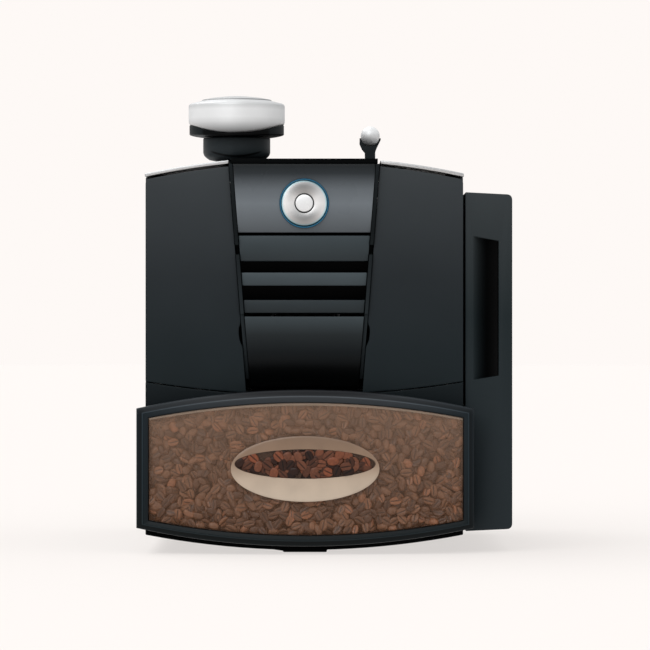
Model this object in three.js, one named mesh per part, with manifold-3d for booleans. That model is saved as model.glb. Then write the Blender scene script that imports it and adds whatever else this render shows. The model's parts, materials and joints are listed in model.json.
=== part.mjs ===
// Countertop bean-to-cup hot coffee vending machine, as an assembly of separate pieces.
// Millimetres, +Z up, front towards -Y. The origin is on the standing surface, in the middle of
// the machine's outline: its overall width runs along X and its overall depth along Y.

import * as THREE from 'three';
import { mergeVertices } from 'three/addons/utils/BufferGeometryUtils.js';
import Module from 'manifold-3d';

const wasm = await Module();
wasm.setup();

// ---------------------------------------------------------------- driving dimensions

const GAP = 0.3;              // clearance between pieces that only rest against each other
const WALL = 2.5;             // moulded cover and tray wall
const DEPTH_BACK = 200;       // rearmost point, on the power inlet's flange
const DOOR_FRONT = -200;      // frontmost point, the middle of the door

const BODY_X = -17;           // the casing's own middle: the tank hangs on its right side
const BODY_HALF = 130.6;      // half the casing's width
const PANEL_Y = -176;         // front panels at the casing's middle
const PANEL_SAG = 8;          // how far their corners stand back
const PANEL_THICK = 3;
const CASE_BACK = 194;        // inner face of the rear cover
const ROOF_CREST = 325.3;     // roof plates' top surface, extended to the middle
const ROOF_DROP = 13.5;       // from there down to the casing's edge
const ROOF_THICK = 2.9;
const ROOF_GAP = 2.2;         // dark gap between a roof plate and the front panel under it
const ROOF_LEFT = [-148.2, -79];
const ROOF_RIGHT = [45.4, 114.2];
const ROOF_CENTRE_THICK = 3.6;
const SEAM_CREST = 130;       // lower edge of the front panels, extended to the middle
const SEAM_RISE = 10.8;       // from there up to the casing's edge
const SEAM_GAP = 0.8;
const APRON_LOW = 113;        // the lens-shaped panels under the seam end here, behind the door
const CASE_LOW = 19.6;        // lower edge of the side and rear covers
const CASE_HIGH = 308.4;
const CASE_FRONT = -164.6;
const REAR_THICK = 3;
const VENT_ROWS = 8;          // cooling slots in each bank of the rear cover
const VENT_PITCH = 10;
const VENT_LOW = 190;
const VENT_BANKS = [[-140, -92], [58, 106]];
const CHASSIS = { left: -143, right: 109, front: -156.5, back: 190, bar: 10, top: 304 };

const COLUMN_TOP = 323.5;     // the middle column: an upside-down trapezoid
const COLUMN_FOOT = 133.3;
const COLUMN_TOP_HALF = 59;
const COLUMN_FOOT_HALF = 44.3;
const RAIL_WIDTH = 3;
const RAIL_FOOT = 141;
const RAIL_NOTCH = [244.8, 252.6];  // break in both rails
const CHANNEL_FRONT = -178;
const CHANNEL_BACK = -157.5;
const FASCIA = [263, 319.2];        // lower and upper edges of the column's pieces
const UPPER_LOUVRE = [239.4, 260.3];
const MIDDLE_LOUVRE = [219.3, 230];
const LOWER_LOUVRE = [196.8, 207.5];
const LOUVRE_DEEP = 9;
const FASCIA_CROWN = 2.5;
const SCALLOP_Z = 179.2;            // finger scallops in the panels, beside the spout cover
const SCALLOP_DEEP = 2.2;
const SCALLOP_HALF = 8.6;

const FRONT_ZONE = [-190, -150];    // depths that the front pieces are cut out of
const DOOR_ZONE = [-205, -170];
const COLUMN_SPAN = [BODY_X - 70, BODY_X + 70];

const DIAL_Z = 286.8;
const DIAL_HOLE = 20.4;
const LIGHT_RING = { outer: 20.1, inner: 19.2, front: -179.4, back: -170 };
const SELECTOR = { outer: 18.8, inner: 7.9, front: -181.6, back: -171 };
const BUTTON = { radius: 7.3, front: -182.2, back: -171 };

const DOOR_X = -16.2;
const DOOR_HALF = 137.9;
const DOOR_BACK = -180;
const DOOR_SAG = 10;
const DOOR_TOP = [134.1, 118.8];    // arched edges: height at the middle, at the corners
const DOOR_LOW = [6.8, 21.2];
const WINDOW_X = -15.6;
const WINDOW_HALF = 128.6;
const WINDOW_TOP = [123.8, 111.2];
const WINDOW_LOW = [15.5, 27.3];
const WINDOW_LAYERS = { pane: 3, paneBack: 5, beans: 5.3, plate: 2.6 };
const HINGE_X = -149.3;             // the door swings on a vertical pin in its left edge
const HINGE_Y = -183.5;
const HINGE_EYES = [[31, 43], [95, 107]];
const HINGE_PIN = { radius: 1.2, bore: 1.5, low: 27.4, high: 110.6 };
const BADGE = { x: -16.2, z: 69.8, halfWidth: 60.6, halfHeight: 26.8, front: 1.6, back: 2.7 };
const BADGE_SLOT = { rise: 4, halfWidth: 50, halfHeight: 9.5 };

const PAN_HALF = 130.4;             // base pan, bowed like the door's lower edge
const PAN_LOW = [2.3, 14.8];
const PAN_THICK = 4.6;
const PAN_FRONT = -173.2;
const PAN_BACK = 190;
const FOOT_RADIUS = 11;
const FEET = [[-57, -60], [23, -60], [-97, 150], [63, 150]];

const KNOB_X = -74.2;
const KNOB_Y = -100;
const KNOB_RADIUS = 40.4;
const KNOB_NECK = 28.2;
const KNOB_SPIGOT = 12;
const NECK_TOP = 343.8;
const SKIRT_LOW = [344.2, 346.5];   // bowed edges: height at the knob's middle, at its sides
const SKIRT_TOP = [346.4, 355.3];
const CAP_LOW = [346.7, 355.6];
const SHAFT_RADIUS = 6;
const LEVER_X = 38;
const LEVER_Y = -100;
const LEVER_PIVOT_Z = 312;
const LEVER_BALL_Z = 345.8;
const LEVER_BALL_RADIUS = 8;

const TANK_LEFT = 115.6;
const TANK_RIGHT = 154.1;
const TANK_FRONT = -166;
const TANK_SPLIT = -148;            // the grip panel stands in front of the tank shell here
const TANK_BACK = 112;
const TANK_LOW = 17.4;
const TANK_TOP = 296.3;
const TANK_LID_LOW = 288.7;
const TANK_CORNER = 5;
const GRIP_RIGHT = 143;             // upright wall of the grip recess
const HOOK_TOP = 96;                // the two hooks that carry the tank
const HOOK_Y = [-100, 70];
const HOOK_HALF = 6;

const BAY = { left: -143, right: 109, back: -40, ceiling: 130.6 };
const BAY_SKIN = 1.8;
const NOZZLE = { x: -95, y: -110, radius: 5, bore: 2.5, low: 106, high: 150 };
const TRAY = { left: -138, right: 104, front: -172, back: -44, low: 21, top: 40 };
const BOX = { left: -90, right: 56, front: -43.4, back: 70, low: 21, top: 80 };
const TRAY_WALL = 2;
const TRAY_RIBS = [-62, 28];
const GRILLE_THICK = 3.4;
const GRILLE_SLOTS = 13;
const GRILLE_PITCH = 17;
const FLOAT_X = 62;
const FLOAT_Y = -150;

const SPOUT_X = -17;
const SPOUT_TOP = 193.9;
const SPOUT_FRONT = -178.6;
const SPOUT_DEPTH = 26;             // from the cover's upright top to its turned-under foot
const SPOUT_SKIN = 3;
const OUTLET_Y = -140;
const OUTLET_SPACING = 12;
const OUTLET_BLOCK = { half: 24, front: -152, back: -126, low: 137, high: 170 };
const SLIDER = { half: 13, front: -122.6, back: -118.8, high: 222 };
const BREW_X = -17;
const BREW_Y = -20;
const HOPPER_X = -17;
const HOPPER_Y = 41;
const INLET_X = -105;
const SWITCH_X = -70;
const INLET_Z = 46;

// ---------------------------------------------------------------- solids and placing

function toSolid(geometry) {
  const plain = geometry.clone();
  plain.deleteAttribute('normal');
  plain.deleteAttribute('uv');
  const merged = mergeVertices(plain, 1e-4);
  const vertProperties = new Float32Array(merged.attributes.position.array);
  const triVerts = new Uint32Array(merged.index.array);
  return new wasm.Manifold(new wasm.Mesh({ numProp: 3, vertProperties, triVerts }));
}

function toGeometry(solid) {
  const mesh = solid.getMesh();
  const geometry = new THREE.BufferGeometry();
  geometry.setAttribute('position', new THREE.BufferAttribute(new Float32Array(mesh.vertProperties), 3));
  geometry.setIndex(new THREE.BufferAttribute(new Uint32Array(mesh.triVerts), 1));
  geometry.computeVertexNormals();
  return geometry;
}

function combine(operation, geometries) {
  let result = toSolid(geometries[0]);
  for (const geometry of geometries.slice(1)) {
    result = result[operation](toSolid(geometry));
  }
  return toGeometry(result);
}

const cut = (...geometries) => combine('subtract', geometries);
const join = (...geometries) => combine('add', geometries);
const common = (...geometries) => combine('intersect', geometries);

function box(x0, x1, y0, y1, z0, z1) {
  const geometry = new THREE.BoxGeometry(x1 - x0, y1 - y0, z1 - z0);
  return geometry.translate((x0 + x1) / 2, (y0 + y1) / 2, (z0 + z1) / 2);
}

function shapeOf(points) {
  return new THREE.Shape(points.map(([a, b]) => new THREE.Vector2(a, b)));
}

function extruded(shape, depth) {
  return new THREE.ExtrudeGeometry(shape, { depth, bevelEnabled: false, curveSegments: 8 });
}

// An outline in (x, z), made solid from y0 back to y1.
function alongY(shape, y0, y1) {
  const turn = new THREE.Matrix4().makeBasis(
    new THREE.Vector3(1, 0, 0), new THREE.Vector3(0, 0, 1), new THREE.Vector3(0, -1, 0));
  return extruded(shape, y1 - y0).applyMatrix4(turn).translate(0, y1, 0);
}

// An outline in (x, y), made solid from z0 up to z1.
function alongZ(shape, z0, z1) {
  return extruded(shape, z1 - z0).translate(0, 0, z0);
}

// An outline in (y, z), made solid from x0 to x1.
function alongX(shape, x0, x1) {
  const turn = new THREE.Matrix4().makeBasis(
    new THREE.Vector3(0, 1, 0), new THREE.Vector3(0, 0, 1), new THREE.Vector3(1, 0, 0));
  return extruded(shape, x1 - x0).applyMatrix4(turn).translate(x0, 0, 0);
}

function rodZ(radius, x, y, z0, z1, sides = 24) {
  const geometry = new THREE.CylinderGeometry(radius, radius, z1 - z0, sides).rotateX(Math.PI / 2);
  return geometry.translate(x, y, (z0 + z1) / 2);
}

function rodY(radius, x, z, y0, y1, sides = 24) {
  const geometry = new THREE.CylinderGeometry(radius, radius, y1 - y0, sides);
  return geometry.translate(x, (y0 + y1) / 2, z);
}

function rodX(radius, y, z, x0, x1, sides = 24) {
  const geometry = new THREE.CylinderGeometry(radius, radius, x1 - x0, sides).rotateZ(Math.PI / 2);
  return geometry.translate((x0 + x1) / 2, y, z);
}

// Turned piece about a vertical axis, from a profile of [radius, z] that starts and ends on the axis.
function turned(profile, x, y, sides = 32) {
  const points = profile.map(([r, z]) => new THREE.Vector2(r, z));
  return new THREE.LatheGeometry(points, sides).rotateX(Math.PI / 2).translate(x, y, 0);
}

// ---------------------------------------------------------------- shared curves

// A bowed line: `middle` at the centre, `edge` at the distance `half` from it.
function bowed(x, centre, half, middle, edge) {
  const u = (x - centre) / half;
  return middle + (edge - middle) * u * u;
}

const roofTop = (x) => bowed(x, BODY_X, BODY_HALF, ROOF_CREST, ROOF_CREST - ROOF_DROP);
const seamLine = (x) => bowed(x, BODY_X, BODY_HALF, SEAM_CREST, SEAM_CREST + SEAM_RISE);
const panLow = (x) => bowed(x, BODY_X, PAN_HALF, ...PAN_LOW);
const doorFront = (x) => bowed(x, DOOR_X, DOOR_HALF, DOOR_FRONT, DOOR_FRONT + DOOR_SAG);
const panelFront = (x) => bowed(x, BODY_X, BODY_HALF, PANEL_Y, PANEL_Y + PANEL_SAG);

// Half the column's width at a height.
function columnHalf(z) {
  const t = (z - COLUMN_FOOT) / (COLUMN_TOP - COLUMN_FOOT);
  return COLUMN_FOOT_HALF + (COLUMN_TOP_HALF - COLUMN_FOOT_HALF) * t;
}

function sampled(x0, x1, steps, height) {
  const points = [];
  for (let i = 0; i <= steps; i += 1) {
    const x = x0 + ((x1 - x0) * i) / steps;
    points.push([x, height(x)]);
  }
  return points;
}

// Area between a lower and an upper curve.
function band(x0, x1, steps, low, high) {
  return shapeOf([...sampled(x0, x1, steps, low), ...sampled(x1, x0, steps, high)]);
}

// Outline with an arched top and a bowed lower edge, grown by `grow`.
function archOutline(centre, half, top, low, grow) {
  const lowCurve = (x) => bowed(x, centre, half, ...low) - grow;
  const topCurve = (x) => bowed(x, centre, half, ...top) + grow;
  return band(centre - half - grow, centre + half + grow, 16, lowCurve, topCurve);
}

const windowOutline = (grow) => archOutline(WINDOW_X, WINDOW_HALF, WINDOW_TOP, WINDOW_LOW, grow);

// Plan of a bulged front piece between two depths, over the whole height.
function bulge(front, x0, x1, back, steps = 16) {
  return alongZ(band(x0, x1, steps, front, back), -10, 400);
}

// Part of the column between two heights, `clear` inside its sloping sides.
function columnSlice(z0, z1, clear) {
  const low = columnHalf(z0) - clear;
  const high = columnHalf(z1) - clear;
  return shapeOf([[BODY_X - low, z0], [BODY_X + low, z0], [BODY_X + high, z1], [BODY_X - high, z1]]);
}

function ellipse(x, z, a, b, steps) {
  const points = [];
  for (let i = 0; i < steps; i += 1) {
    const angle = (2 * Math.PI * i) / steps;
    points.push([x + a * Math.cos(angle), z + b * Math.sin(angle)]);
  }
  return shapeOf(points);
}

// ---------------------------------------------------------------- materials

function finish(color, roughness, metalness) {
  return () => new THREE.MeshStandardMaterial({ color, roughness, metalness });
}

const anthraciteGloss = finish(0x343a3e, 0.35, 0.1);
const blackGloss = finish(0x0b0d10, 0.25, 0.1);
const blackMatte = finish(0x14171a, 0.7, 0.0);
const greyGloss = finish(0x4c5256, 0.3, 0.2);
const blueBlack = finish(0x1b232a, 0.35, 0.1);
const tankPlastic = finish(0x32393d, 0.45, 0.0);
const brightMetal = finish(0xe4e7ea, 0.25, 0.9);
const brushedMetal = finish(0xb9bdc1, 0.35, 0.9);
const glowBlue = finish(0x4fb9e0, 0.4, 0.0);
const roastBean = finish(0x6b4a36, 0.6, 0.0);
const creamEnamel = finish(0xd8c8b2, 0.5, 0.0);
const clearWindow = finish(0xa58d7a, 0.1, 0.0);
const rubberBlack = finish(0x101214, 0.9, 0.0);
const steel = finish(0x9a9ea2, 0.4, 0.9);
const ceramicWhite = finish(0xe8e4dc, 0.6, 0.0);
const boardGreen = finish(0x1f5a3a, 0.6, 0.0);
const floatRed = finish(0xb3261e, 0.5, 0.0);
const greyPlastic = finish(0x5a5f63, 0.6, 0.0);
const brassMetal = finish(0xb08d4a, 0.35, 0.9);

const machine = new THREE.Group();

function add(name, geometry, material) {
  const mesh = new THREE.Mesh(geometry, material());
  mesh.name = name;
  machine.add(mesh);
}

// ---------------------------------------------------------------- base and casing

// Bowed floor pan with a small tab in the middle of its front edge.
function basePan() {
  const low = (x) => panLow(x);
  const high = (x) => panLow(x) + PAN_THICK;
  const x0 = BODY_X - PAN_HALF;
  const x1 = BODY_X + PAN_HALF;
  const floor = alongY(band(x0, x1, 20, low, high), PAN_FRONT, PAN_BACK);
  const tab = box(BODY_X - 17.5, BODY_X + 18.5, PAN_FRONT, PAN_FRONT + 10, 0.6, PAN_LOW[0] + 2);
  return join(floor, tab);
}

// Round rubber foot, its top shaped to the pan above it.
function foot(x, y) {
  const under = band(x - 14, x + 14, 6, () => -1, (at) => panLow(at) - GAP);
  return common(rodZ(FOOT_RADIUS, x, y, 0, 14, 20), alongY(under, y - 12, y + 12));
}

function sideCover(x0, x1) {
  return box(x0, x1, CASE_FRONT, CASE_BACK - GAP, CASE_LOW, CASE_HIGH);
}

// Right side cover, with the two hooks that the tank hangs on.
function tankSideCover() {
  const outer = BODY_X + BODY_HALF;
  const hooks = HOOK_Y.map((y) => {
    return box(outer - 1, TANK_LEFT + 2.6, y - HOOK_HALF, y + HOOK_HALF, 30, HOOK_TOP);
  });
  return join(sideCover(outer - WALL, outer), ...hooks);
}

// Flat rear cover with two banks of cooling slots, and the inlet's and the switch's cut-outs.
function rearCover() {
  const left = BODY_X - BODY_HALF + 0.2;
  const right = BODY_X + BODY_HALF - 0.2;
  const tools = [];
  for (const [x, half] of [[INLET_X, 15.4], [SWITCH_X, 9.4]]) {
    tools.push(box(x - half, x + half, CASE_BACK - 4, DEPTH_BACK, INLET_Z - 11.4, INLET_Z + 11.4));
  }
  for (let row = 0; row < VENT_ROWS; row += 1) {
    const z = VENT_LOW + row * VENT_PITCH;
    for (const [x0, x1] of VENT_BANKS) {
      tools.push(box(x0, x1, CASE_BACK - 4, DEPTH_BACK, z, z + 4));
    }
  }
  const under = (x) => Math.min(roofTop(x) - ROOF_THICK, COLUMN_TOP - ROOF_CENTRE_THICK) - GAP;
  const plate = alongY(band(left, right, 16, () => CASE_LOW, under), CASE_BACK, CASE_BACK + REAR_THICK);
  return cut(plate, ...tools);
}

// Hole through the roof for the knob collar's spigot.
function spigotHole() {
  return rodZ(KNOB_SPIGOT + GAP, KNOB_X, KNOB_Y, 300, 330, 32);
}

// Bright roof plate on one side of the column, curved down to the casing's edge.
function roofPlate(x0, x1) {
  const low = (x) => roofTop(x) - ROOF_THICK;
  const front = (x) => panelFront(x) - 0.6;
  const back = CASE_BACK + REAR_THICK;
  const sheet = alongY(band(x0, x1, 10, low, roofTop), PANEL_Y - 9, back);
  return cut(common(sheet, bulge(front, x0, x1, () => back, 10)), spigotHole());
}

// Black middle of the roof, with the hopper's opening and the lever's slot. A pad under the slot
// carries two cheeks and the pin that the lever turns on.
function roofCentre() {
  const half = COLUMN_TOP_HALF + 1.3;
  const back = CASE_BACK + REAR_THICK;
  const low = COLUMN_TOP - ROOF_CENTRE_THICK;
  const plate = box(BODY_X - half, BODY_X + half, PANEL_Y - 1, back, low, COLUMN_TOP);
  const mouth = box(HOPPER_X - 41, HOPPER_X + 41, HOPPER_Y - 71, HOPPER_Y + 73, 315, 330);
  const slot = box(LEVER_X - 4.8, LEVER_X + 4.8, LEVER_Y - 10, LEVER_Y + 10, 315, 330);
  const pad = box(LEVER_X - 8, LEVER_X + 7, LEVER_Y - 14, LEVER_Y + 14, low - 3, low + 1);
  const cheeks = [LEVER_X - 5.7, LEVER_X + 5.7].map((x) => {
    return box(x - 1, x + 1, LEVER_Y - 7, LEVER_Y + 7, LEVER_PIVOT_Z - 5, low);
  });
  const pin = rodX(1.6, LEVER_Y, LEVER_PIVOT_Z, LEVER_X - 6.5, LEVER_X + 6.5, 16);
  return join(cut(join(plate, pad), mouth, slot, spigotHole()), ...cheeks, pin);
}

// Curved front panel beside the column: side is -1 for the left one, +1 for the right one.
function frontPanel(side) {
  const outer = BODY_X + side * BODY_HALF;
  const inner = BODY_X + side * (COLUMN_FOOT_HALF + 1);
  const x0 = Math.min(outer, inner);
  const x1 = Math.max(outer, inner);
  const face = band(x0, x1, 12, seamLine, (x) => roofTop(x) - ROOF_THICK - ROOF_GAP);
  const shell = bulge(panelFront, x0, x1, (x) => panelFront(x) + PANEL_THICK, 12);
  const clear = RAIL_WIDTH + 0.6;
  const column = alongY(columnSlice(120, 330, -clear), ...FRONT_ZONE);
  const edge = BODY_X + side * (columnHalf(SCALLOP_Z) + clear);
  const scallop = alongY(ellipse(edge, SCALLOP_Z, SCALLOP_DEEP, SCALLOP_HALF, 24), ...FRONT_ZONE);
  return cut(common(alongY(face, ...FRONT_ZONE), shell), column, scallop);
}

// Lens-shaped lower panel between the front panel's seam and the door.
function apron(side) {
  const outer = BODY_X + side * BODY_HALF;
  const inner = BODY_X + side * (COLUMN_FOOT_HALF + 6);
  const x0 = Math.min(outer, inner);
  const x1 = Math.max(outer, inner);
  const face = band(x0, x1, 10, () => APRON_LOW, (x) => seamLine(x) - SEAM_GAP);
  const shell = bulge(panelFront, x0, x1, (x) => panelFront(x) + PANEL_THICK, 10);
  return common(alongY(face, ...FRONT_ZONE), shell);
}

// Inner skeleton: a front and a rear portal tied by two upper side beams.
function chassisFrame() {
  const { left, right, front, back, bar, top } = CHASSIS;
  const foot = BAY.ceiling + 3.4;
  const pieces = [box(left, right, front, front + bar, top - bar, top)];
  pieces.push(box(left, right, back - bar, back, top - bar, top));
  for (const x of [left, right - bar]) {
    pieces.push(box(x, x + bar, front, front + bar, foot, top));
    pieces.push(box(x, x + bar, back - bar, back, 21, top));
    pieces.push(box(x, x + bar, front + 5, back - 5, top - bar, top));
  }
  return join(...pieces);
}

// ---------------------------------------------------------------- middle column

// Profile in (y, z) of the spout cover's quarter-ellipse front, set back by `inset`.
function spoutProfile(inset) {
  const drop = SPOUT_TOP - COLUMN_FOOT;
  const points = [];
  for (let i = 0; i <= 12; i += 1) {
    const angle = (Math.PI / 2) * (i / 12);
    const y = SPOUT_FRONT + inset + SPOUT_DEPTH * (1 - Math.cos(angle));
    points.push([y, SPOUT_TOP - drop * Math.sin(angle)]);
  }
  return points;
}

// Channel behind the column: a back plate and the two slim side rails. Beside the spout cover the rails
// stand behind the cover's skin, so that its wider top passes in front of them as it comes down.
function columnFrame() {
  const clear = -(RAIL_WIDTH + 0.2);
  const channel = alongY(columnSlice(RAIL_FOOT, FASCIA[1], clear), CHANNEL_FRONT, CHANNEL_BACK);
  const hollow = alongY(columnSlice(130, 330, -0.2), -190, CHANNEL_BACK - 2.5);
  const window = box(BODY_X - 70, BODY_X + 70, CHANNEL_BACK - 5, -150, 130, 196);
  const notch = box(BODY_X - 70, BODY_X + 70, -190, CHANNEL_BACK - 8, ...RAIL_NOTCH);
  const back = spoutProfile(SPOUT_SKIN + 2 * GAP);
  const room = [[-190, COLUMN_FOOT], [-190, SPOUT_TOP + 2], [back[0][0], SPOUT_TOP + 2], ...back];
  const sweep = alongX(shapeOf(room), ...COLUMN_SPAN);
  return cut(channel, hollow, window, notch, sweep);
}

// Gently crowned fascia with the dial's round hole.
function controlFascia() {
  const [low, high] = FASCIA;
  const crown = (z) => bowed(z, (low + high) / 2, (high - low) / 2, PANEL_Y - FASCIA_CROWN, PANEL_Y);
  const side = sampled(low, high, 8, crown).map(([z, y]) => [y, z]);
  side.push([PANEL_Y + 8, high], [PANEL_Y + 8, low]);
  const bar = alongX(shapeOf(side.reverse()), ...COLUMN_SPAN);
  const face = common(bar, alongY(columnSlice(low, high, 0.2), ...FRONT_ZONE));
  return cut(face, rodY(DIAL_HOLE, BODY_X, DIAL_Z, -190, -150, 40));
}

// Horizontal bar of the column between two heights.
function louvre([z0, z1]) {
  return alongY(columnSlice(z0, z1, 0.2), PANEL_Y, PANEL_Y + LOUVRE_DEEP);
}

// Flat ring about the dial's axis.
function dialRing({ outer, inner, front, back }) {
  const bore = rodY(inner, BODY_X, DIAL_Z, front - 1, back + 1, 40);
  return cut(rodY(outer, BODY_X, DIAL_Z, front, back, 40), bore);
}

function selectButton() {
  return rodY(BUTTON.radius, BODY_X, DIAL_Z, BUTTON.front, BUTTON.back, 32);
}

// ---------------------------------------------------------------- cup bay

// Liner of the cup bay: side walls, rear wall with the container's opening, ceiling with the spout's
// opening, and the guide channel that the spout carriage slides in.
function bayLiner() {
  const x0 = BAY.left - BAY_SKIN;
  const x1 = BAY.right + BAY_SKIN;
  const outer = box(x0, x1, CASE_FRONT, BAY.back + 2, CASE_LOW + 0.4, BAY.ceiling + 2);
  const inner = box(BAY.left, BAY.right, CASE_FRONT - 5, BAY.back, 10, BAY.ceiling);
  const spoutHole = box(SPOUT_X - 50, SPOUT_X + 50, CASE_FRONT - 5, SLIDER.back + 0.2, 120, 140);
  const container = box(BOX.left - 2, BOX.right + 2, BAY.back - 5, BAY.back + 5, 10, BOX.top + 4);
  const nozzleHole = rodZ(NOZZLE.radius + 0.4, NOZZLE.x, NOZZLE.y, 120, 140);
  const guide = box(SPOUT_X - 20, SPOUT_X + 20, SLIDER.front - 1, -113, BAY.ceiling - 0.6, 232);
  const half = SLIDER.half + 0.6;
  const slot = box(SPOUT_X - half, SPOUT_X + half, SLIDER.front - 0.4, SLIDER.back + 0.4, 120, 240);
  const mouth = box(SPOUT_X - 10, SPOUT_X + 10, SLIDER.front - 8, SLIDER.front + 0.6, 120, 240);
  return cut(join(cut(outer, inner, spoutHole, container, nozzleHole), guide), slot, mouth);
}

function waterNozzle() {
  const { x, y, radius, bore, low, high } = NOZZLE;
  return cut(rodZ(radius, x, y, low, high), rodZ(bore, x, y, low - 5, high + 5, 16));
}

// ---------------------------------------------------------------- drawer

// U-shaped front frame of the drawer, with the two hinge eyes that carry the door.
function drawerFront() {
  const half = DOOR_HALF - 2.4;
  const low = DOOR_LOW.map((z) => z + 1.4);
  const sheet = alongY(archOutline(DOOR_X, half, [117, 117], low, 0), -176.7, -173.7);
  const opening = box(DOOR_X - half + 8, DOOR_X + half - 8, -180, -170, 25.5, 130);
  const eyes = [];
  const bores = [];
  for (const [z0, z1] of HINGE_EYES) {
    eyes.push(rodZ(2.6, HINGE_X, HINGE_Y, z0, z1));
    eyes.push(box(HINGE_X - 2, HINGE_X + 2, HINGE_Y, -176, z0, z1));
    bores.push(rodZ(HINGE_PIN.bore, HINGE_X, HINGE_Y, z0 - 1, z1 + 1, 16));
  }
  return cut(join(cut(sheet, opening), ...eyes), ...bores);
}

// Open-topped bin with even walls.
function bin({ left, right, front, back, low, top }) {
  const wall = TRAY_WALL;
  const hollow = box(left + wall, right - wall, front + wall, back - wall, low + wall, top + 10);
  return cut(box(left, right, front, back, low, top), hollow);
}

// Drip tray with two inner ribs that carry the grille.
function dripTray() {
  const ribTop = TRAY.top - GRILLE_THICK - GAP;
  const ribs = TRAY_RIBS.map((x) => box(x, x + 2, TRAY.front + 1, TRAY.back - 1, TRAY.low + 1, ribTop));
  return join(bin(TRAY), ...ribs);
}

// Slotted grille, with a round hole for the float's stem.
function dripGrille() {
  const clear = 2.5;
  const plate = box(TRAY.left + clear, TRAY.right - clear, TRAY.front + clear, TRAY.back - clear,
    TRAY.top - GRILLE_THICK, TRAY.top);
  const tools = [rodZ(3.4, FLOAT_X, FLOAT_Y, 20, 50, 16)];
  for (let i = 0; i < GRILLE_SLOTS; i += 1) {
    const x = TRAY.left + 15 + i * GRILLE_PITCH;
    tools.push(box(x, x + 6, -138, TRAY.back - 14, 20, 50));
  }
  return cut(plate, ...tools);
}

// Float: a disc under the grille and a red stem that shows through it when the tray is full.
function dripFloat() {
  return turned([[0, 24], [9, 24], [9, 28.5], [2.6, 29.5], [2.6, 39.4], [0, 39.4]], FLOAT_X, FLOAT_Y, 20);
}

function groundsContainer() {
  return bin(BOX);
}

// ---------------------------------------------------------------- door

// Door frame: the arched ring, with notches for the hinge eyes and the pin's bore in its left side.
function doorFrame() {
  const outer = alongY(archOutline(DOOR_X, DOOR_HALF, DOOR_TOP, DOOR_LOW, 0), DOOR_FRONT - 5, DOOR_BACK);
  const opening = alongY(windowOutline(0), DOOR_FRONT - 10, DOOR_BACK + 10);
  const shell = bulge(doorFront, DOOR_X - DOOR_HALF - 1, DOOR_X + DOOR_HALF + 1, () => DOOR_BACK);
  const bore = rodZ(HINGE_PIN.bore, HINGE_X, HINGE_Y, HINGE_PIN.low - 0.4, HINGE_PIN.high + 0.4, 16);
  const tools = [opening, bore];
  for (const [z0, z1] of HINGE_EYES) {
    tools.push(box(HINGE_X - 10, HINGE_X + 3.2, HINGE_Y - 3.7, -170, z0 - GAP, z1 + GAP));
  }
  return cut(common(outer, shell), ...tools);
}

function doorHingePin() {
  return rodZ(HINGE_PIN.radius, HINGE_X, HINGE_Y, HINGE_PIN.low, HINGE_PIN.high, 16);
}

// Piece of the window's outline between two bulged depths.
function windowLayer(front, back) {
  const face = alongY(windowOutline(-GAP), DOOR_FRONT - 5, DOOR_BACK + 10);
  const shell = bulge((x) => doorFront(x) + front, DOOR_X - 140, DOOR_X + 140, back);
  return common(face, shell);
}

function doorWindow() {
  return windowLayer(WINDOW_LAYERS.pane, (x) => doorFront(x) + WINDOW_LAYERS.paneBack);
}

function beanFill() {
  return windowLayer(WINDOW_LAYERS.beans, () => DOOR_BACK - WINDOW_LAYERS.plate - GAP);
}

function doorBackplate() {
  return alongY(windowOutline(-GAP), DOOR_BACK - WINDOW_LAYERS.plate, DOOR_BACK);
}

// Oval badge on the window, with a lens-shaped slot.
function medallion() {
  const { x, z, halfWidth, halfHeight, front, back } = BADGE;
  const oval = alongY(ellipse(x, z, halfWidth, halfHeight, 36), ...DOOR_ZONE);
  const bed = ellipse(x, z + BADGE_SLOT.rise, BADGE_SLOT.halfWidth, BADGE_SLOT.halfHeight, 28);
  const shell = bulge((at) => doorFront(at) + front, x - 70, x + 70, (at) => doorFront(at) + back, 12);
  return cut(common(oval, shell), alongY(bed, ...DOOR_ZONE));
}

// ---------------------------------------------------------------- spout carriage

function spoutCover() {
  const outline = [...spoutProfile(0), ...spoutProfile(SPOUT_SKIN).reverse()];
  const sheet = alongX(shapeOf(outline), ...COLUMN_SPAN);
  return common(sheet, alongY(columnSlice(COLUMN_FOOT - 40, SPOUT_TOP + 0.1, 0.2), -190, -140));
}

// Coffee outlet block with its two nozzles and the slider behind it.
function spoutBlock() {
  const { half, front, back, low, high } = OUTLET_BLOCK;
  const block = box(SPOUT_X - half, SPOUT_X + half, front, back, low, high);
  const neck = box(SPOUT_X - 9, SPOUT_X + 9, back - 1, SLIDER.back - 0.8, low, SLIDER.high);
  const wide = SLIDER.half;
  const slider = box(SPOUT_X - wide, SPOUT_X + wide, SLIDER.front, SLIDER.back, low, SLIDER.high);
  const places = [SPOUT_X - OUTLET_SPACING, SPOUT_X + OUTLET_SPACING];
  const tubes = places.map((x) => rodZ(4.5, x, OUTLET_Y, low - 18, low + 1, 20));
  const bores = places.map((x) => rodZ(2.5, x, OUTLET_Y, low - 25, low + 23, 12));
  return cut(join(block, neck, slider, ...tubes), ...bores);
}

// ---------------------------------------------------------------- top controls

// Part of the space about the knob's axis between two bowed surfaces.
function knobLayer(low, high) {
  const lowCurve = (x) => bowed(x, KNOB_X, KNOB_RADIUS, ...low);
  const highCurve = (x) => bowed(x, KNOB_X, KNOB_RADIUS, ...high);
  const half = KNOB_RADIUS + 6;
  return alongY(band(KNOB_X - half, KNOB_X + half, 14, lowCurve, highCurve), KNOB_Y - 50, KNOB_Y + 50);
}

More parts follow.
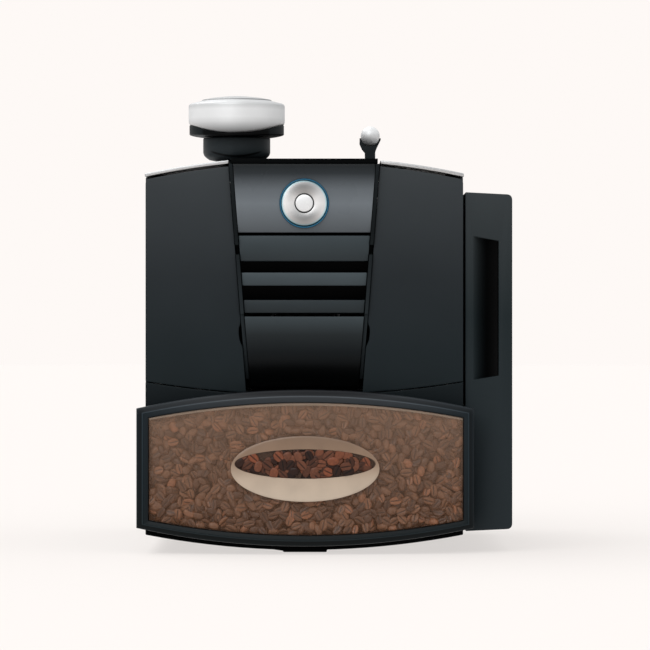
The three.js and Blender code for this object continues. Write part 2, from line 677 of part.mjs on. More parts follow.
// Bright knob cap with a domed disc on top and a bowed lower edge.
function knobCap() {
  const profile = [[0, 340], [KNOB_RADIUS, 340], [KNOB_RADIUS, 371.2], [39.8, 372.4], [29.2, 375.1],
    [29.2, 375.8], [21.5, 377.5], [11, 378.7], [0, 379.1]];
  return common(turned(profile, KNOB_X, KNOB_Y, 40), knobLayer(CAP_LOW, [395, 395]));
}

// Dark skirt under the cap, with the shaft that goes down through the collar.
function knobSkirt() {
  const disc = rodZ(KNOB_RADIUS - 0.7, KNOB_X, KNOB_Y, 330, 365, 40);
  const shaft = rodZ(SHAFT_RADIUS, KNOB_X, KNOB_Y, 310, SKIRT_LOW[0] + 0.8, 20);
  return join(common(disc, knobLayer(SKIRT_LOW, SKIRT_TOP)), shaft);
}

// Collar with a rounded foot, on a spigot through the roof.
function knobCollar() {
  const profile = [[0, 308], [KNOB_SPIGOT, 308], [KNOB_SPIGOT, 324], [17, 324.4], [23, 325.6], [25.8, 327.6],
    [27.4, 329.4], [KNOB_NECK, 331.6], [KNOB_NECK, NECK_TOP], [0, NECK_TOP]];
  return cut(turned(profile, KNOB_X, KNOB_Y, 40), rodZ(SHAFT_RADIUS + 1, KNOB_X, KNOB_Y, 300, 350, 20));
}

// Lever: hub on its pivot, slim stem, and a flared head that holds the ball from behind.
function leverArm() {
  const side = [[-4.2, LEVER_PIVOT_Z], [4.2, LEVER_PIVOT_Z], [4.2, 332], [5, 334.5], [6.6, 338], [8.8, 342.5],
    [8.8, 344], [-8.9, 344], [-9, 339], [-7, 334.5], [-4.6, 331.5]];
  const stem = alongY(shapeOf(side.map(([x, z]) => [LEVER_X + x, z])), LEVER_Y - 3.5, LEVER_Y + 3.5);
  const hub = rodX(5, LEVER_Y, LEVER_PIVOT_Z, LEVER_X - 4.2, LEVER_X + 4.2, 20);
  const bore = rodX(2, LEVER_Y, LEVER_PIVOT_Z, LEVER_X - 10, LEVER_X + 10, 16);
  const front = box(LEVER_X - 12, LEVER_X + 12, LEVER_Y - 5, LEVER_Y, LEVER_BALL_Z - 8.6, LEVER_BALL_Z + 10);
  return cut(join(stem, hub), leverSphere(LEVER_BALL_RADIUS + GAP), front, bore);
}

function leverSphere(radius) {
  return new THREE.SphereGeometry(radius, 24, 16).translate(LEVER_X, LEVER_Y, LEVER_BALL_Z);
}

// ---------------------------------------------------------------- water tank

// Tank outline in (x, z) up to a height: square inner side, rounded outer corners, sloping top.
function tankOutline(top) {
  const slope = 1.7;
  const low = 1.6;
  const shape = new THREE.Shape();
  shape.moveTo(TANK_LEFT, TANK_LOW);
  shape.lineTo(TANK_RIGHT - TANK_CORNER, TANK_LOW + low);
  shape.quadraticCurveTo(TANK_RIGHT, TANK_LOW + low, TANK_RIGHT, TANK_LOW + low + TANK_CORNER);
  if (top < TANK_TOP) {
    shape.lineTo(TANK_RIGHT, top);
  } else {
    shape.lineTo(TANK_RIGHT, top - slope - TANK_CORNER);
    shape.quadraticCurveTo(TANK_RIGHT, top - slope, TANK_RIGHT - TANK_CORNER, top - slope);
  }
  shape.lineTo(TANK_LEFT, top);
  shape.closePath();
  return shape;
}

// Tank shell, open on top, with two slots in its inner wall for the casing's hooks.
function tankShell() {
  const shell = alongY(tankOutline(TANK_LID_LOW - 0.4), TANK_SPLIT, TANK_BACK);
  const hollow = box(TANK_LEFT + 5.6, TANK_RIGHT - 2.6, TANK_SPLIT + 3, TANK_BACK - 3, TANK_LOW + 5.6, 300);
  const half = HOOK_HALF + 0.6;
  const slots = HOOK_Y.map((y) => box(110, TANK_LEFT + 3, y - half, y + half, 10, HOOK_TOP + GAP));
  return cut(shell, hollow, ...slots);
}

// Front panel of the tank with its upright grip recess: a scoop on the left, a sharp wall on the right.
function tankGripPanel() {
  const panel = alongY(tankOutline(TANK_TOP), TANK_FRONT, TANK_SPLIT - GAP);
  const plan = shapeOf([[121, -170], [GRIP_RIGHT, -170], [GRIP_RIGHT, -152], [138, -152.2], [134, -153.4],
    [130, -156.2], [126.5, -160], [123.5, -164], [121.6, TANK_FRONT]]);
  const face = shapeOf([[119, 141.3], [GRIP_RIGHT, 145.3], [GRIP_RIGHT, 256.2], [119, 260.6]]);
  return cut(panel, common(alongZ(plan, 100, 300), alongY(face, -172, -151)));
}

function tankLid() {
  const full = alongY(tankOutline(TANK_TOP), TANK_SPLIT + GAP, TANK_BACK);
  return common(full, box(100, 160, -160, 120, TANK_LID_LOW, 310));
}

// ---------------------------------------------------------------- coffee and water works

// Bean hopper: flanged box that narrows to an outlet over the grinder, open at both ends.
function beanHopper() {
  const taper = (a, b) => {
    const r = Math.SQRT2;
    const cone = new THREE.CylinderGeometry(a * r, b * r, 35, 4, 1).rotateY(Math.PI / 4).rotateX(Math.PI / 2);
    return cone.scale(1, 5 / 3, 1).translate(HOPPER_X, HOPPER_Y, 272.5);
  };
  const flange = box(HOPPER_X - 45, HOPPER_X + 45, HOPPER_Y - 75, HOPPER_Y + 75, 289.9, 319.4);
  const room = box(HOPPER_X - 42.5, HOPPER_X + 42.5, HOPPER_Y - 72.5, HOPPER_Y + 72.5, 289.9, 325);
  const throat = box(HOPPER_X - 12.5, HOPPER_X + 12.5, HOPPER_Y - 20, HOPPER_Y + 20, 250, 256);
  return cut(join(flange, taper(45, 15)), room, taper(42.5, 12.5), throat);
}

// Lid over the hopper, flush with the roof, with a finger notch in its front edge.
function hopperLid() {
  const plate = box(HOPPER_X - 40.4, HOPPER_X + 40.4, HOPPER_Y - 70.4, HOPPER_Y + 69, 320.4, 323.2);
  return cut(plate, box(HOPPER_X - 12, HOPPER_X + 12, HOPPER_Y - 75, HOPPER_Y - 63, 315, 330));
}

function grinderHousing() {
  const body = rodZ(34, HOPPER_X, HOPPER_Y, 205, 254.4, 32);
  const chamber = rodZ(24, HOPPER_X, HOPPER_Y, 214, 260, 28);
  const bearing = rodZ(4.6, HOPPER_X, HOPPER_Y, 200, 220, 16);
  const chute = box(HOPPER_X - 7, HOPPER_X + 7, HOPPER_Y - 40, HOPPER_Y - 18, 214, 222);
  return cut(body, chamber, bearing, chute);
}

function ringBurr() {
  const ring = rodZ(23.6, HOPPER_X, HOPPER_Y, 226, 240, 28);
  const throat = new THREE.CylinderGeometry(19, 14.5, 20, 28).rotateX(Math.PI / 2);
  return cut(ring, throat.translate(HOPPER_X, HOPPER_Y, 233));
}

// Cone burr with its drive shaft.
function coneBurr() {
  const profile = [[0, 205.2], [4, 205.2], [4, 224], [12.8, 225.5], [12.8, 229], [7, 243], [0, 245]];
  return turned(profile, HOPPER_X, HOPPER_Y, 24);
}

function grinderMotor() {
  const profile = [[0, 141], [28, 141], [30, 143], [30, 196], [28, 200], [12, 200], [12, 204.4], [0, 204.4]];
  return turned(profile, HOPPER_X, HOPPER_Y, 28);
}

function brewCylinder() {
  const body = join(rodZ(26, BREW_X, BREW_Y, 150, 210, 32), rodZ(29, BREW_X, BREW_Y, 150, 156, 32));
  return cut(body, rodZ(21, BREW_X, BREW_Y, 140, 220, 32));
}

// Brewing piston on its rod.
function brewPiston() {
  const profile = [[0, 112], [6, 112], [6, 160], [20.6, 162], [20.6, 176], [0, 176]];
  return turned(profile, BREW_X, BREW_Y, 28);
}

function thermoblock() {
  const body = box(62, 102, -20, 50, 110, 160);
  const fins = [];
  for (let i = 0; i < 5; i += 1) {
    fins.push(box(58, 64, -16 + i * 14, -10 + i * 14, 114, 156));
  }
  return join(body, ...fins, rodZ(4, 72, 30, 155, 172, 12), rodZ(4, 92, -6, 155, 172, 12));
}

function waterPump() {
  const core = rodY(17, 78, 60, 50, 120, 24);
  return join(core, rodY(5, 78, 60, 40, 130, 16), box(66, 90, 62, 108, 38, 50));
}

// Control board with its relays, heat sink and transformer.
function controlBoard() {
  const board = box(-140, -138.2, -20, 120, 150, 270);
  const parts = [box(-139, -120, 90, 114, 156, 190), box(-139, -126, -12, 20, 230, 262)];
  for (let i = 0; i < 3; i += 1) {
    parts.push(box(-139, -128, -10 + i * 22, 4 + i * 22, 160, 182));
  }
  return join(board, ...parts);
}

// ---------------------------------------------------------------- mains inlet and switch

// Inlet module: three-pin appliance inlet and the switch's cup behind one flange.
function powerInlet() {
  const face = CASE_BACK + REAR_THICK + GAP;
  const flange = box(INLET_X - 19, SWITCH_X + 13, face, DEPTH_BACK, INLET_Z - 14, INLET_Z + 14);
  const body = box(INLET_X - 15, INLET_X + 15, 172, 198, INLET_Z - 11, INLET_Z + 11);
  const recess = box(INLET_X - 12.5, INLET_X + 12.5, 182, 210, INLET_Z - 8.5, INLET_Z + 8.5);
  const pins = [INLET_X - 7, INLET_X, INLET_X + 7].map((x) => {
    return box(x - 1, x + 1, 181, 196, INLET_Z - 3, INLET_Z + 3);
  });
  const cup = box(SWITCH_X - 9, SWITCH_X + 9, 180, 198, INLET_Z - 11, INLET_Z + 11);
  const room = box(SWITCH_X - 7, SWITCH_X + 7, 183, 210, INLET_Z - 9.4, INLET_Z + 9.4);
  return join(cut(join(flange, body, cup), recess, room), ...pins);
}

function powerRocker() {
  const side = [[187, INLET_Z - 6], [187, INLET_Z + 6], [197.6, INLET_Z + 8], [196.8, INLET_Z],
    [197.6, INLET_Z - 8]];
  return alongX(shapeOf(side.reverse()), SWITCH_X - 6.6, SWITCH_X + 6.6);
}

// ---------------------------------------------------------------- assembly

add('base_pan', basePan(), blackMatte);
FEET.forEach(([x, y], index) => add(`foot_${index + 1}`, foot(x, y), rubberBlack));
add('side_cover_left', sideCover(BODY_X - BODY_HALF, BODY_X - BODY_HALF + WALL), anthraciteGloss);
add('side_cover_right', tankSideCover(), anthraciteGloss);
add('rear_cover', rearCover(), blackMatte);
add('roof_left', roofPlate(...ROOF_LEFT), brightMetal);
add('roof_right', roofPlate(...ROOF_RIGHT), brightMetal);
add('roof_centre', roofCentre(), blackGloss);
add('front_panel_left', frontPanel(-1), anthraciteGloss);
add('front_panel_right', frontPanel(1), anthraciteGloss);
add('apron_left', apron(-1), anthraciteGloss);
add('apron_right', apron(1), anthraciteGloss);
add('chassis_frame', chassisFrame(), steel);
add('column_frame', columnFrame(), blackGloss);
add('control_fascia', controlFascia(), greyGloss);
add('light_ring', dialRing(LIGHT_RING), glowBlue);
add('louvre_upper', louvre(UPPER_LOUVRE), greyGloss);
add('louvre_middle', louvre(MIDDLE_LOUVRE), greyGloss);
add('louvre_lower', louvre(LOWER_LOUVRE), greyGloss);
add('bay_liner', bayLiner(), blackMatte);
add('water_nozzle', waterNozzle(), brushedMetal);
add('knob_collar', knobCollar(), blackGloss);
add('bean_hopper', beanHopper(), clearWindow);
add('grinder_housing', grinderHousing(), greyPlastic);
add('grinder_motor', grinderMotor(), steel);
add('ring_burr', ringBurr(), ceramicWhite);
add('brew_cylinder', brewCylinder(), greyPlastic);
add('thermoblock', thermoblock(), brushedMetal);
add('water_pump', waterPump(), brassMetal);
add('control_board', controlBoard(), boardGreen);
add('power_inlet', powerInlet(), blackMatte);

add('drawer_front', drawerFront(), blackMatte);
add('drip_tray', dripTray(), blackMatte);
add('grounds_container', groundsContainer(), greyPlastic);
add('door_hinge_pin', doorHingePin(), steel);
add('drip_grille', dripGrille(), brushedMetal);
add('drip_float', dripFloat(), floatRed);

add('door_frame', doorFrame(), blueBlack);
add('door_window', doorWindow(), clearWindow);
add('bean_fill', beanFill(), roastBean);
add('door_backplate', doorBackplate(), blackMatte);
add('medallion', medallion(), creamEnamel);

add('spout_cover', spoutCover(), greyGloss);
add('spout_block', spoutBlock(), blackMatte);

add('selector_ring', dialRing(SELECTOR), brushedMetal);
add('select_button', selectButton(), brightMetal);
add('knob_cap', knobCap(), brightMetal);
add('knob_skirt', knobSkirt(), blackGloss);
add('lever_arm', leverArm(), blackGloss);
add('lever_ball', leverSphere(LEVER_BALL_RADIUS), brightMetal);
add('tank_shell', tankShell(), tankPlastic);
add('tank_grip_panel', tankGripPanel(), tankPlastic);
add('tank_lid', tankLid(), tankPlastic);
add('hopper_lid', hopperLid(), blackGloss);
add('power_rocker', powerRocker(), blackGloss);
add('cone_burr', coneBurr(), steel);
add('brew_piston', brewPiston(), greyPlastic);

export default machine;
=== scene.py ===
import json
import math
import random

import bmesh
import bpy
from mathutils import Matrix, Vector


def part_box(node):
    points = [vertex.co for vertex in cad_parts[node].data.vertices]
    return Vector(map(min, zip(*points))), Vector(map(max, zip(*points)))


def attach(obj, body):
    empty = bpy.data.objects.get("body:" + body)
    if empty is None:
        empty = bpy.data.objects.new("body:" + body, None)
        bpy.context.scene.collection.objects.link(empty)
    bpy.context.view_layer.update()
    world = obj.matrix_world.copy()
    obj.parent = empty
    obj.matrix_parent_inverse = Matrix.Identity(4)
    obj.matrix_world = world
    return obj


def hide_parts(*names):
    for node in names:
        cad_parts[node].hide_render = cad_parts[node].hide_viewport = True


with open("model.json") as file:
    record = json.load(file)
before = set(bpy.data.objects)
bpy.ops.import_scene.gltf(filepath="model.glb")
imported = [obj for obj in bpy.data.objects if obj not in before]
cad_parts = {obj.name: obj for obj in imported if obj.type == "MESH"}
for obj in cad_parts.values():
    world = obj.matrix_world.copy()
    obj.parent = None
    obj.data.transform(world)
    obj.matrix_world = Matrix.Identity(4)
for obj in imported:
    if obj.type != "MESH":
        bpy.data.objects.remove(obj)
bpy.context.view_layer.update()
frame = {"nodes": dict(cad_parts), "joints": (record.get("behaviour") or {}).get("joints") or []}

MM = 0.001

# ------------------------------------------------------------------ dimensions, from the frame


def edges(node):
    """A node's box as (x0, x1, y0, y1, z0, z1)."""
    low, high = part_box(node)
    return low.x, high.x, low.y, high.y, low.z, high.z


def bowed(x, centre, half, middle, edge):
    """A parabola: `middle` at the centre, `edge` at the distance `half` from it."""
    u = (x - centre) / half
    return middle + (edge - middle) * u * u


BODY_LEFT = edges("side_cover_left")[0]
BODY_RIGHT = edges("front_panel_right")[1]
BODY_X = (BODY_LEFT + BODY_RIGHT) / 2
BODY_HALF = (BODY_RIGHT - BODY_LEFT) / 2
PANEL_Y = edges("louvre_upper")[2]
PANEL_SAG = 8 * MM
PANEL_THICK = 3 * MM
ROOF_CREST = 325.3 * MM
ROOF_DROP = 13.5 * MM
ROOF_THICK = 2.9 * MM
ROOF_GAP = 2.2 * MM
SEAM_CREST = 130 * MM
SEAM_RISE = 10.8 * MM
RAIL_CLEAR = 3.6 * MM
COLUMN_CLEAR = 0.2 * MM

DOOR_LEFT, DOOR_RIGHT, DOOR_FRONT, DOOR_BACK, DOOR_LOW, DOOR_TOP = edges("door_frame")
DOOR_X = (DOOR_LEFT + DOOR_RIGHT) / 2
DOOR_HALF = (DOOR_RIGHT - DOOR_LEFT) / 2
DOOR_SAG = 10 * MM
DOOR_TOP_DROP = 15.3 * MM
DOOR_LOW_RISE = 14.4 * MM
PANE_LEFT, PANE_RIGHT, _, _, PANE_LOW, PANE_TOP = edges("door_window")
PANE_X = (PANE_LEFT + PANE_RIGHT) / 2
PANE_HALF = (PANE_RIGHT - PANE_LEFT) / 2
PANE_TOP_DROP = 12.6 * MM
PANE_LOW_RISE = 11.8 * MM
PANE_INSET = 3 * MM
PANE_THICK = 2 * MM
HINGE_EYES = ((31 * MM, 43 * MM), (95 * MM, 107 * MM))
BADGE_FRONT = 1.6 * MM
BADGE_THICK = 1.1 * MM
BED_LIFT = 4 * MM
BED_HALF_WIDE = 57.5 * MM
BED_HALF_HIGH = 12 * MM
BADGE = edges("medallion")
BADGE_X = (BADGE[0] + BADGE[1]) / 2
BED_Z = (BADGE[4] + BADGE[5]) / 2 + BED_LIFT

SPOUT = edges("spout_cover")
FASCIA = edges("control_fascia")
DIAL = edges("selector_ring")
DIAL_X = (DIAL[0] + DIAL[1]) / 2
DIAL_Z = (DIAL[4] + DIAL[5]) / 2
KNOB = edges("knob_cap")
KNOB_X = (KNOB[0] + KNOB[1]) / 2
KNOB_Y = (KNOB[2] + KNOB[3]) / 2
KNOB_R = (KNOB[1] - KNOB[0]) / 2
BALL = edges("lever_ball")


def column_half(z):
    """Half the middle column's width at a height."""
    low_half = (SPOUT[1] - SPOUT[0]) / 2
    high_half = (FASCIA[1] - FASCIA[0]) / 2
    t = (z - SPOUT[5]) / (FASCIA[5] - SPOUT[5])
    return low_half + (high_half - low_half) * t + COLUMN_CLEAR


def roof_top(x):
    return bowed(x, BODY_X, BODY_HALF, ROOF_CREST, ROOF_CREST - ROOF_DROP)


def seam_line(x):
    return bowed(x, BODY_X, BODY_HALF, SEAM_CREST, SEAM_CREST + SEAM_RISE)


def panel_front(x):
    return bowed(x, BODY_X, BODY_HALF, PANEL_Y, PANEL_Y + PANEL_SAG)


def door_front(x):
    return bowed(x, DOOR_X, DOOR_HALF, DOOR_FRONT, DOOR_FRONT + DOOR_SAG)


def pane_low(x):
    return bowed(x, PANE_X, PANE_HALF, PANE_LOW, PANE_LOW + PANE_LOW_RISE)


def pane_top(x):
    return bowed(x, PANE_X, PANE_HALF, PANE_TOP, PANE_TOP - PANE_TOP_DROP)


# ------------------------------------------------------------------ materials


class Nodes:
    """A material's node tree, with short calls for the nodes used here."""

    def __init__(self, name, roughness=0.5, metallic=0.0):
        self.material = bpy.data.materials.new(name)
        self.material.use_nodes = True
        self.tree = self.material.node_tree
        self.shader = self.tree.nodes["Principled BSDF"]
        self.shader.inputs["Roughness"].default_value = roughness
        self.shader.inputs["Metallic"].default_value = metallic
        self.place = self.node("ShaderNodeTexCoord").outputs["Object"]

    def node(self, kind, **values):
        made = self.tree.nodes.new(kind)
        for key, value in values.items():
            setattr(made, key, value)
        return made

    def link(self, source, target):
        self.tree.links.new(source, target)

    def feed(self, value, socket):
        """Links a socket, or sets a colour or a number."""
        if isinstance(value, bpy.types.NodeSocket):
            self.link(value, socket)
        elif isinstance(value, tuple):
            socket.default_value = (*value, 1.0)
        else:
            socket.default_value = value

    def axis(self, letter):
        """The object's own X, Y or Z at each point."""
        parts = self.node("ShaderNodeSeparateXYZ")
        self.link(self.place, parts.inputs["Vector"])
        return parts.outputs[letter]

    def attribute(self, name):
        return self.node("ShaderNodeAttribute", attribute_name=name).outputs["Fac"]

    def calc(self, operation, *values):
        made = self.node("ShaderNodeMath", operation=operation)
        for value, socket in zip(values, made.inputs):
            self.feed(value, socket)
        return made.outputs["Value"]

    def aside(self, x):
        """Distance to either side of the plane at x."""
        return self.calc("ABSOLUTE", self.calc("SUBTRACT", self.axis("X"), x))

    def noise(self, scale, detail=3.0, stretch=(1, 1, 1)):
        mapping = self.node("ShaderNodeMapping")
        mapping.inputs["Scale"].default_value = stretch
        self.link(self.place, mapping.inputs["Vector"])
        made = self.node("ShaderNodeTexNoise")
        made.inputs["Scale"].default_value = scale
        made.inputs["Detail"].default_value = detail
        self.link(mapping.outputs["Vector"], made.inputs["Vector"])
        return made.outputs["Fac"]

    def span(self, value, low, high, out_low=0.0, out_high=1.0, clamp=True):
        """Maps low..high onto out_low..out_high."""
        made = self.node("ShaderNodeMapRange", clamp=clamp)
        sockets = ("From Min", "From Max", "To Min", "To Max")
        for socket, number in zip(sockets, (low, high, out_low, out_high)):
            made.inputs[socket].default_value = number
        self.link(value, made.inputs["Value"])
        return made.outputs["Result"]

    def height(self, z0, z1):
        """0 at the height z0, 1 at z1."""
        return self.span(self.axis("Z"), z0, z1)

    def ramp(self, value, stops):
        made = self.node("ShaderNodeValToRGB")
        bar = made.color_ramp
        while len(bar.elements) < len(stops):
            bar.elements.new(0.5)
        for element, (position, color) in zip(bar.elements, stops):
            element.position = position
            element.color = (*color, 1.0)
        self.link(value, made.inputs["Fac"])
        return made.outputs["Color"]

    def clouds(self, scale, detail, low, high):
        """Grey patches between the levels low and high."""
        return self.ramp(self.noise(scale, detail), [(0.3, grey(low)), (0.7, grey(high))])

    def mixed(self, factor, a, b, blend="MIX"):
        made = self.node("ShaderNodeMix", data_type="RGBA", blend_type=blend)
        self.feed(factor, made.inputs[0])
        self.feed(a, made.inputs[6])
        self.feed(b, made.inputs[7])
        return made.outputs[2]

    def times(self, a, b):
        return self.mixed(1.0, a, b, "MULTIPLY")

    def color(self, value):
        self.feed(value, self.shader.inputs["Base Color"])

    def specular(self, level):
        self.shader.inputs["Specular IOR Level"].default_value = level

    def roughness(self, value, spread):
        """Roughness that wanders by `spread` about its middle, patch by patch."""
        socket = self.shader.inputs["Roughness"]
        middle = socket.default_value
        self.link(self.span(value, 0.3, 0.7, middle - spread, middle + spread), socket)

    def bump(self, value, depth):
        made = self.node("ShaderNodeBump")
        made.inputs["Strength"].default_value = 1.0
        made.inputs["Distance"].default_value = depth
        self.link(value, made.inputs["Height"])
        self.link(made.outputs["Normal"], self.shader.inputs["Normal"])

    def moulded_skin(self, depth, specular):
        """What moulded plastic has all over: faint smears in its sheen and a fine grain."""
        self.roughness(self.noise(9.0, 5.0), 0.05)
        self.bump(self.noise(1600.0, 2.0), depth)
        self.specular(specular)
        return self.material


PLAIN = (1.0, 1.0, 1.0)
CHROME = (0.985, 1.0, 1.01)
COOL = (0.78, 1.0, 1.12)
STEELY = (0.91, 1.03, 1.14)
TONE_SPAN = (0.0, 0.32)


def grey(level, tint=PLAIN):
    return tuple(level * t for t in tint)


def toned(tint, *stops):
    """Ramp stops from (position, grey level), all in one tint."""
    return [(position, grey(level, tint)) for position, level in stops]


def moulded(name, stops, roughness, specular, z=TONE_SPAN):
    """Moulded plastic whose tone follows the height: painted light and shade laid into its colour."""
    made = Nodes(name, roughness)
    tone = made.ramp(made.height(*z), stops)
    made.color(made.times(tone, made.clouds(14.0, 4.0, 0.94, 1.06)))
    return made.moulded_skin(0.012 * MM, specular)


def plain(name, color, roughness=0.5, metallic=0.0, depth=0.02 * MM):
    """Even material with a grain, tone patches and roughness that wanders."""
    made = Nodes(name, roughness, metallic)
    made.color(made.times(color, made.clouds(22.0, 5.0, 0.86, 1.12)))
    made.roughness(made.noise(60.0, 4.0), 0.08)
    made.bump(made.noise(1200.0, 3.0), depth)
    return made.material


def brushed(name, color, stretch, roughness=0.3, depth=0.008 * MM):
    """Metal brushed along the axis whose stretch is small."""
    made = Nodes(name, roughness, 1.0)
    lines = made.noise(900.0, 3.0, stretch)
    tone = made.ramp(lines, [(0.3, grey(0.88)), (0.7, grey(1.08))])
    made.color(made.times(color, tone))
    made.roughness(lines, 0.08)
    made.bump(lines, depth)
    return made.material


def scooped(name):
    """The tank's front: its moulding's tone, with a painted shade that falls off to black deep in the grip
    recess.
    """
    made = Nodes(name, 0.45)
    face = edges("tank_grip_panel")[2]
    deep = made.span(made.axis("Y"), face, face + 14 * MM)
    # Painted shade: darker the deeper into the grip recess.
    recess_shade = made.ramp(deep, toned(PLAIN, (0.04, 1.0), (0.25, 0.8), (0.6, 0.35), (0.85, 0.06), (1.0, 0.03)))
    made.color(made.times(made.ramp(made.height(*TONE_SPAN), TANK_TONE), recess_shade))
    return made.moulded_skin(0.012 * MM, 0.06)


def shaded_skirt(name):
    """The knob's skirt: dark grey at both sides and black across its middle, a painted shadow under the cap's
    low middle.
    """
    made = Nodes(name, 0.45)
    reach = made.span(made.aside(KNOB_X), 0.0, KNOB_R)
    # Painted shadow: black near the middle under the cap, dark grey towards both sides.
    made.color(made.ramp(reach, toned(COOL, (0.66, 0.001), (0.72, 0.011), (1.0, 0.013))))
    return made.moulded_skin(0.01 * MM, 0.06)


def grooved_collar(name):
    """The knob's collar: dark grey, with painted shade along a shallow bowed groove across its front and a
    painted shadow under the cap at its top.
    """
    made = Nodes(name, 0.4)
    x0, x1, _, _, _, top = edges("knob_collar")
    groove_half = 1.1 * MM
    across = made.span(made.axis("X"), x0, x1, -1.0, 1.0)
    bow = made.calc("MULTIPLY", across, across)
    line = made.span(bow, 0.0, 1.0, top - 16.0 * MM, top - 8.5 * MM)
    off = made.span(made.calc("SUBTRACT", made.axis("Z"), line), -groove_half, groove_half)
    # Painted shade along the bowed groove line, fading out towards both ends.
    groove = made.ramp(off, toned(PLAIN, (0.0, 1.0), (0.3, 0.12), (0.7, 0.12), (1.0, 1.0)))
    ends = made.ramp(bow, toned(PLAIN, (0.45, 0.0), (0.62, 1.0)))
    # Painted light and shade by height: lighter across the middle, black at the top in the cap's shadow.
    tone = made.ramp(made.height(top - 20 * MM, top),
                     toned(COOL, (0.0, 0.018), (0.6, 0.029), (0.93, 0.027), (1.0, 0.001)))
    made.color(made.times(tone, made.mixed(ends, groove, PLAIN)))
    return made.moulded_skin(0.01 * MM, 0.1)


def railed(name):
    """Deep black channel whose slim side rails are dark grey, lighter below."""
    made = Nodes(name, 0.45)
    low, high = FASCIA[4:6]
    side = made.span(made.axis("Z"), low, high, column_half(low), column_half(high), clamp=False)
    rail = made.span(made.calc("SUBTRACT", made.aside(BODY_X), side), 0.2 * MM, 0.5 * MM)
    tone = made.ramp(made.height(SPOUT[4], high),
                     toned(COOL, (0.0, 0.030), (0.4, 0.020), (0.7, 0.0085), (1.0, 0.0115)))
    made.color(made.mixed(rail, grey(0.0014, COOL), tone))
    return made.moulded_skin(0.01 * MM, 0.03)


def banded(name):
    """The door frame's lacquer with painted light: tones by height with a bright painted stripe along its
    top, times painted light and shade across its stepped section.
    """
    made = Nodes(name, 0.38)
    # Painted light by height: dark low, with a bright painted stripe along the frame's top.
    tone = made.ramp(made.height(DOOR_LOW, DOOR_TOP), [
        (0.0, (0.0048, 0.0068, 0.0074)), (0.3, (0.0050, 0.0082, 0.0102)), (0.84, (0.0070, 0.0110, 0.0138)),
        (0.9, (0.019, 0.0235, 0.0275)), (0.955, (0.028, 0.032, 0.036)), (0.975, (0.0125, 0.0140, 0.0165)),
        (1.0, (0.010, 0.0112, 0.0132))])
    # Painted light and shade across the section: a painted highlight along the ridge, the outer band darker.
    step = made.ramp(made.attribute("across"), toned(
        PLAIN, (0.0, 0.9), (0.10, 1.25), (0.16, 0.8), (0.38, 0.55), (0.46, 1.0), (0.50, 3.2), (0.56, 1.8),
        (0.66, 1.35), (0.92, 1.2), (1.0, 0.6)))
    made.color(made.times(tone, step))
    return made.moulded_skin(0.01 * MM, 0.1)


def polished(name, z, stops, roughness, metallic):
    """Satin chrome whose tone follows the height, a painted highlight and shade laid into its colour, with
    faint rubbed patches.
    """
    made = Nodes(name, roughness, metallic)
    tone = made.ramp(made.height(*z), toned(CHROME, *stops))
    made.color(made.times(tone, made.clouds(30.0, 4.0, 0.96, 1.03)))
    made.roughness(made.noise(70.0, 4.0), 0.04)
    made.bump(made.noise(1500.0, 2.0), 0.002 * MM)
    return made.material


def turned_metal(name, centre, edge):
    """Metal faced on a lathe: fine circles about `centre`, and a painted sheen in its colour that fans out to
    both sides.
    """
    made = Nodes(name, 0.35, 1.0)
    shift = made.node("ShaderNodeMapping")
    shift.inputs["Location"].default_value = (-centre[0], 0.0, -centre[1])
    made.link(made.place, shift.inputs["Vector"])
    flat = made.node("ShaderNodeVectorMath", operation="MULTIPLY")
    flat.inputs[1].default_value = (1.0, 0.0, 1.0)
    made.link(shift.outputs["Vector"], flat.inputs[0])
    reach = made.node("ShaderNodeVectorMath", operation="LENGTH")
    made.link(flat.outputs["Vector"], reach.inputs[0])
    circles = made.node("ShaderNodeTexNoise", noise_dimensions="1D")
    circles.inputs["Scale"].default_value = 5200.0
    circles.inputs["Detail"].default_value = 2.0
    made.link(reach.outputs["Value"], circles.inputs["W"])
    cuts = made.ramp(circles.outputs["Fac"], toned(PLAIN, (0.3, 0.94), (0.7, 1.04)))
    around = made.node("ShaderNodeVectorMath", operation="NORMALIZE")
    made.link(flat.outputs["Vector"], around.inputs[0])
    steep = made.node("ShaderNodeVectorMath", operation="ABSOLUTE")
    made.link(around.outputs["Vector"], steep.inputs[0])
    parts = made.node("ShaderNodeSeparateXYZ")
    made.link(steep.outputs["Vector"], parts.inputs["Vector"])
    # Painted sheen: lighter to the left and right of the centre, darker above and below it.
    sheen = made.ramp(parts.outputs["Z"], toned(PLAIN, (0.0, 0.86), (0.45, 0.74), (0.85, 0.42), (1.0, 0.33)))
    rim = made.ramp(made.span(reach.outputs["Value"], 0.0, edge), [
        (0.90, PLAIN), (0.96, (0.62, 0.92, 1.0)), (1.0, (0.42, 0.80, 0.95))])
    made.color(made.times(made.times(sheen, rim), cuts))
    made.bump(circles.outputs["Fac"], 0.006 * MM)
    tangent = made.node("ShaderNodeTangent", direction_type="RADIAL", axis="Y")
    made.link(tangent.outputs["Tangent"], made.shader.inputs["Tangent"])
    made.shader.inputs["Anisotropic"].default_value = 0.3
    return made.material


def glowing(name, color, strength):
    """Light guide: lit evenly, with faint brighter stretches."""
    made = Nodes(name, 0.3)
    tone = made.times(color, made.clouds(120.0, 2.0, 0.85, 1.1))
    made.color(tone)
    made.feed(tone, made.shader.inputs["Emission Color"])
    made.shader.inputs["Emission Strength"].default_value = strength
    return made.material


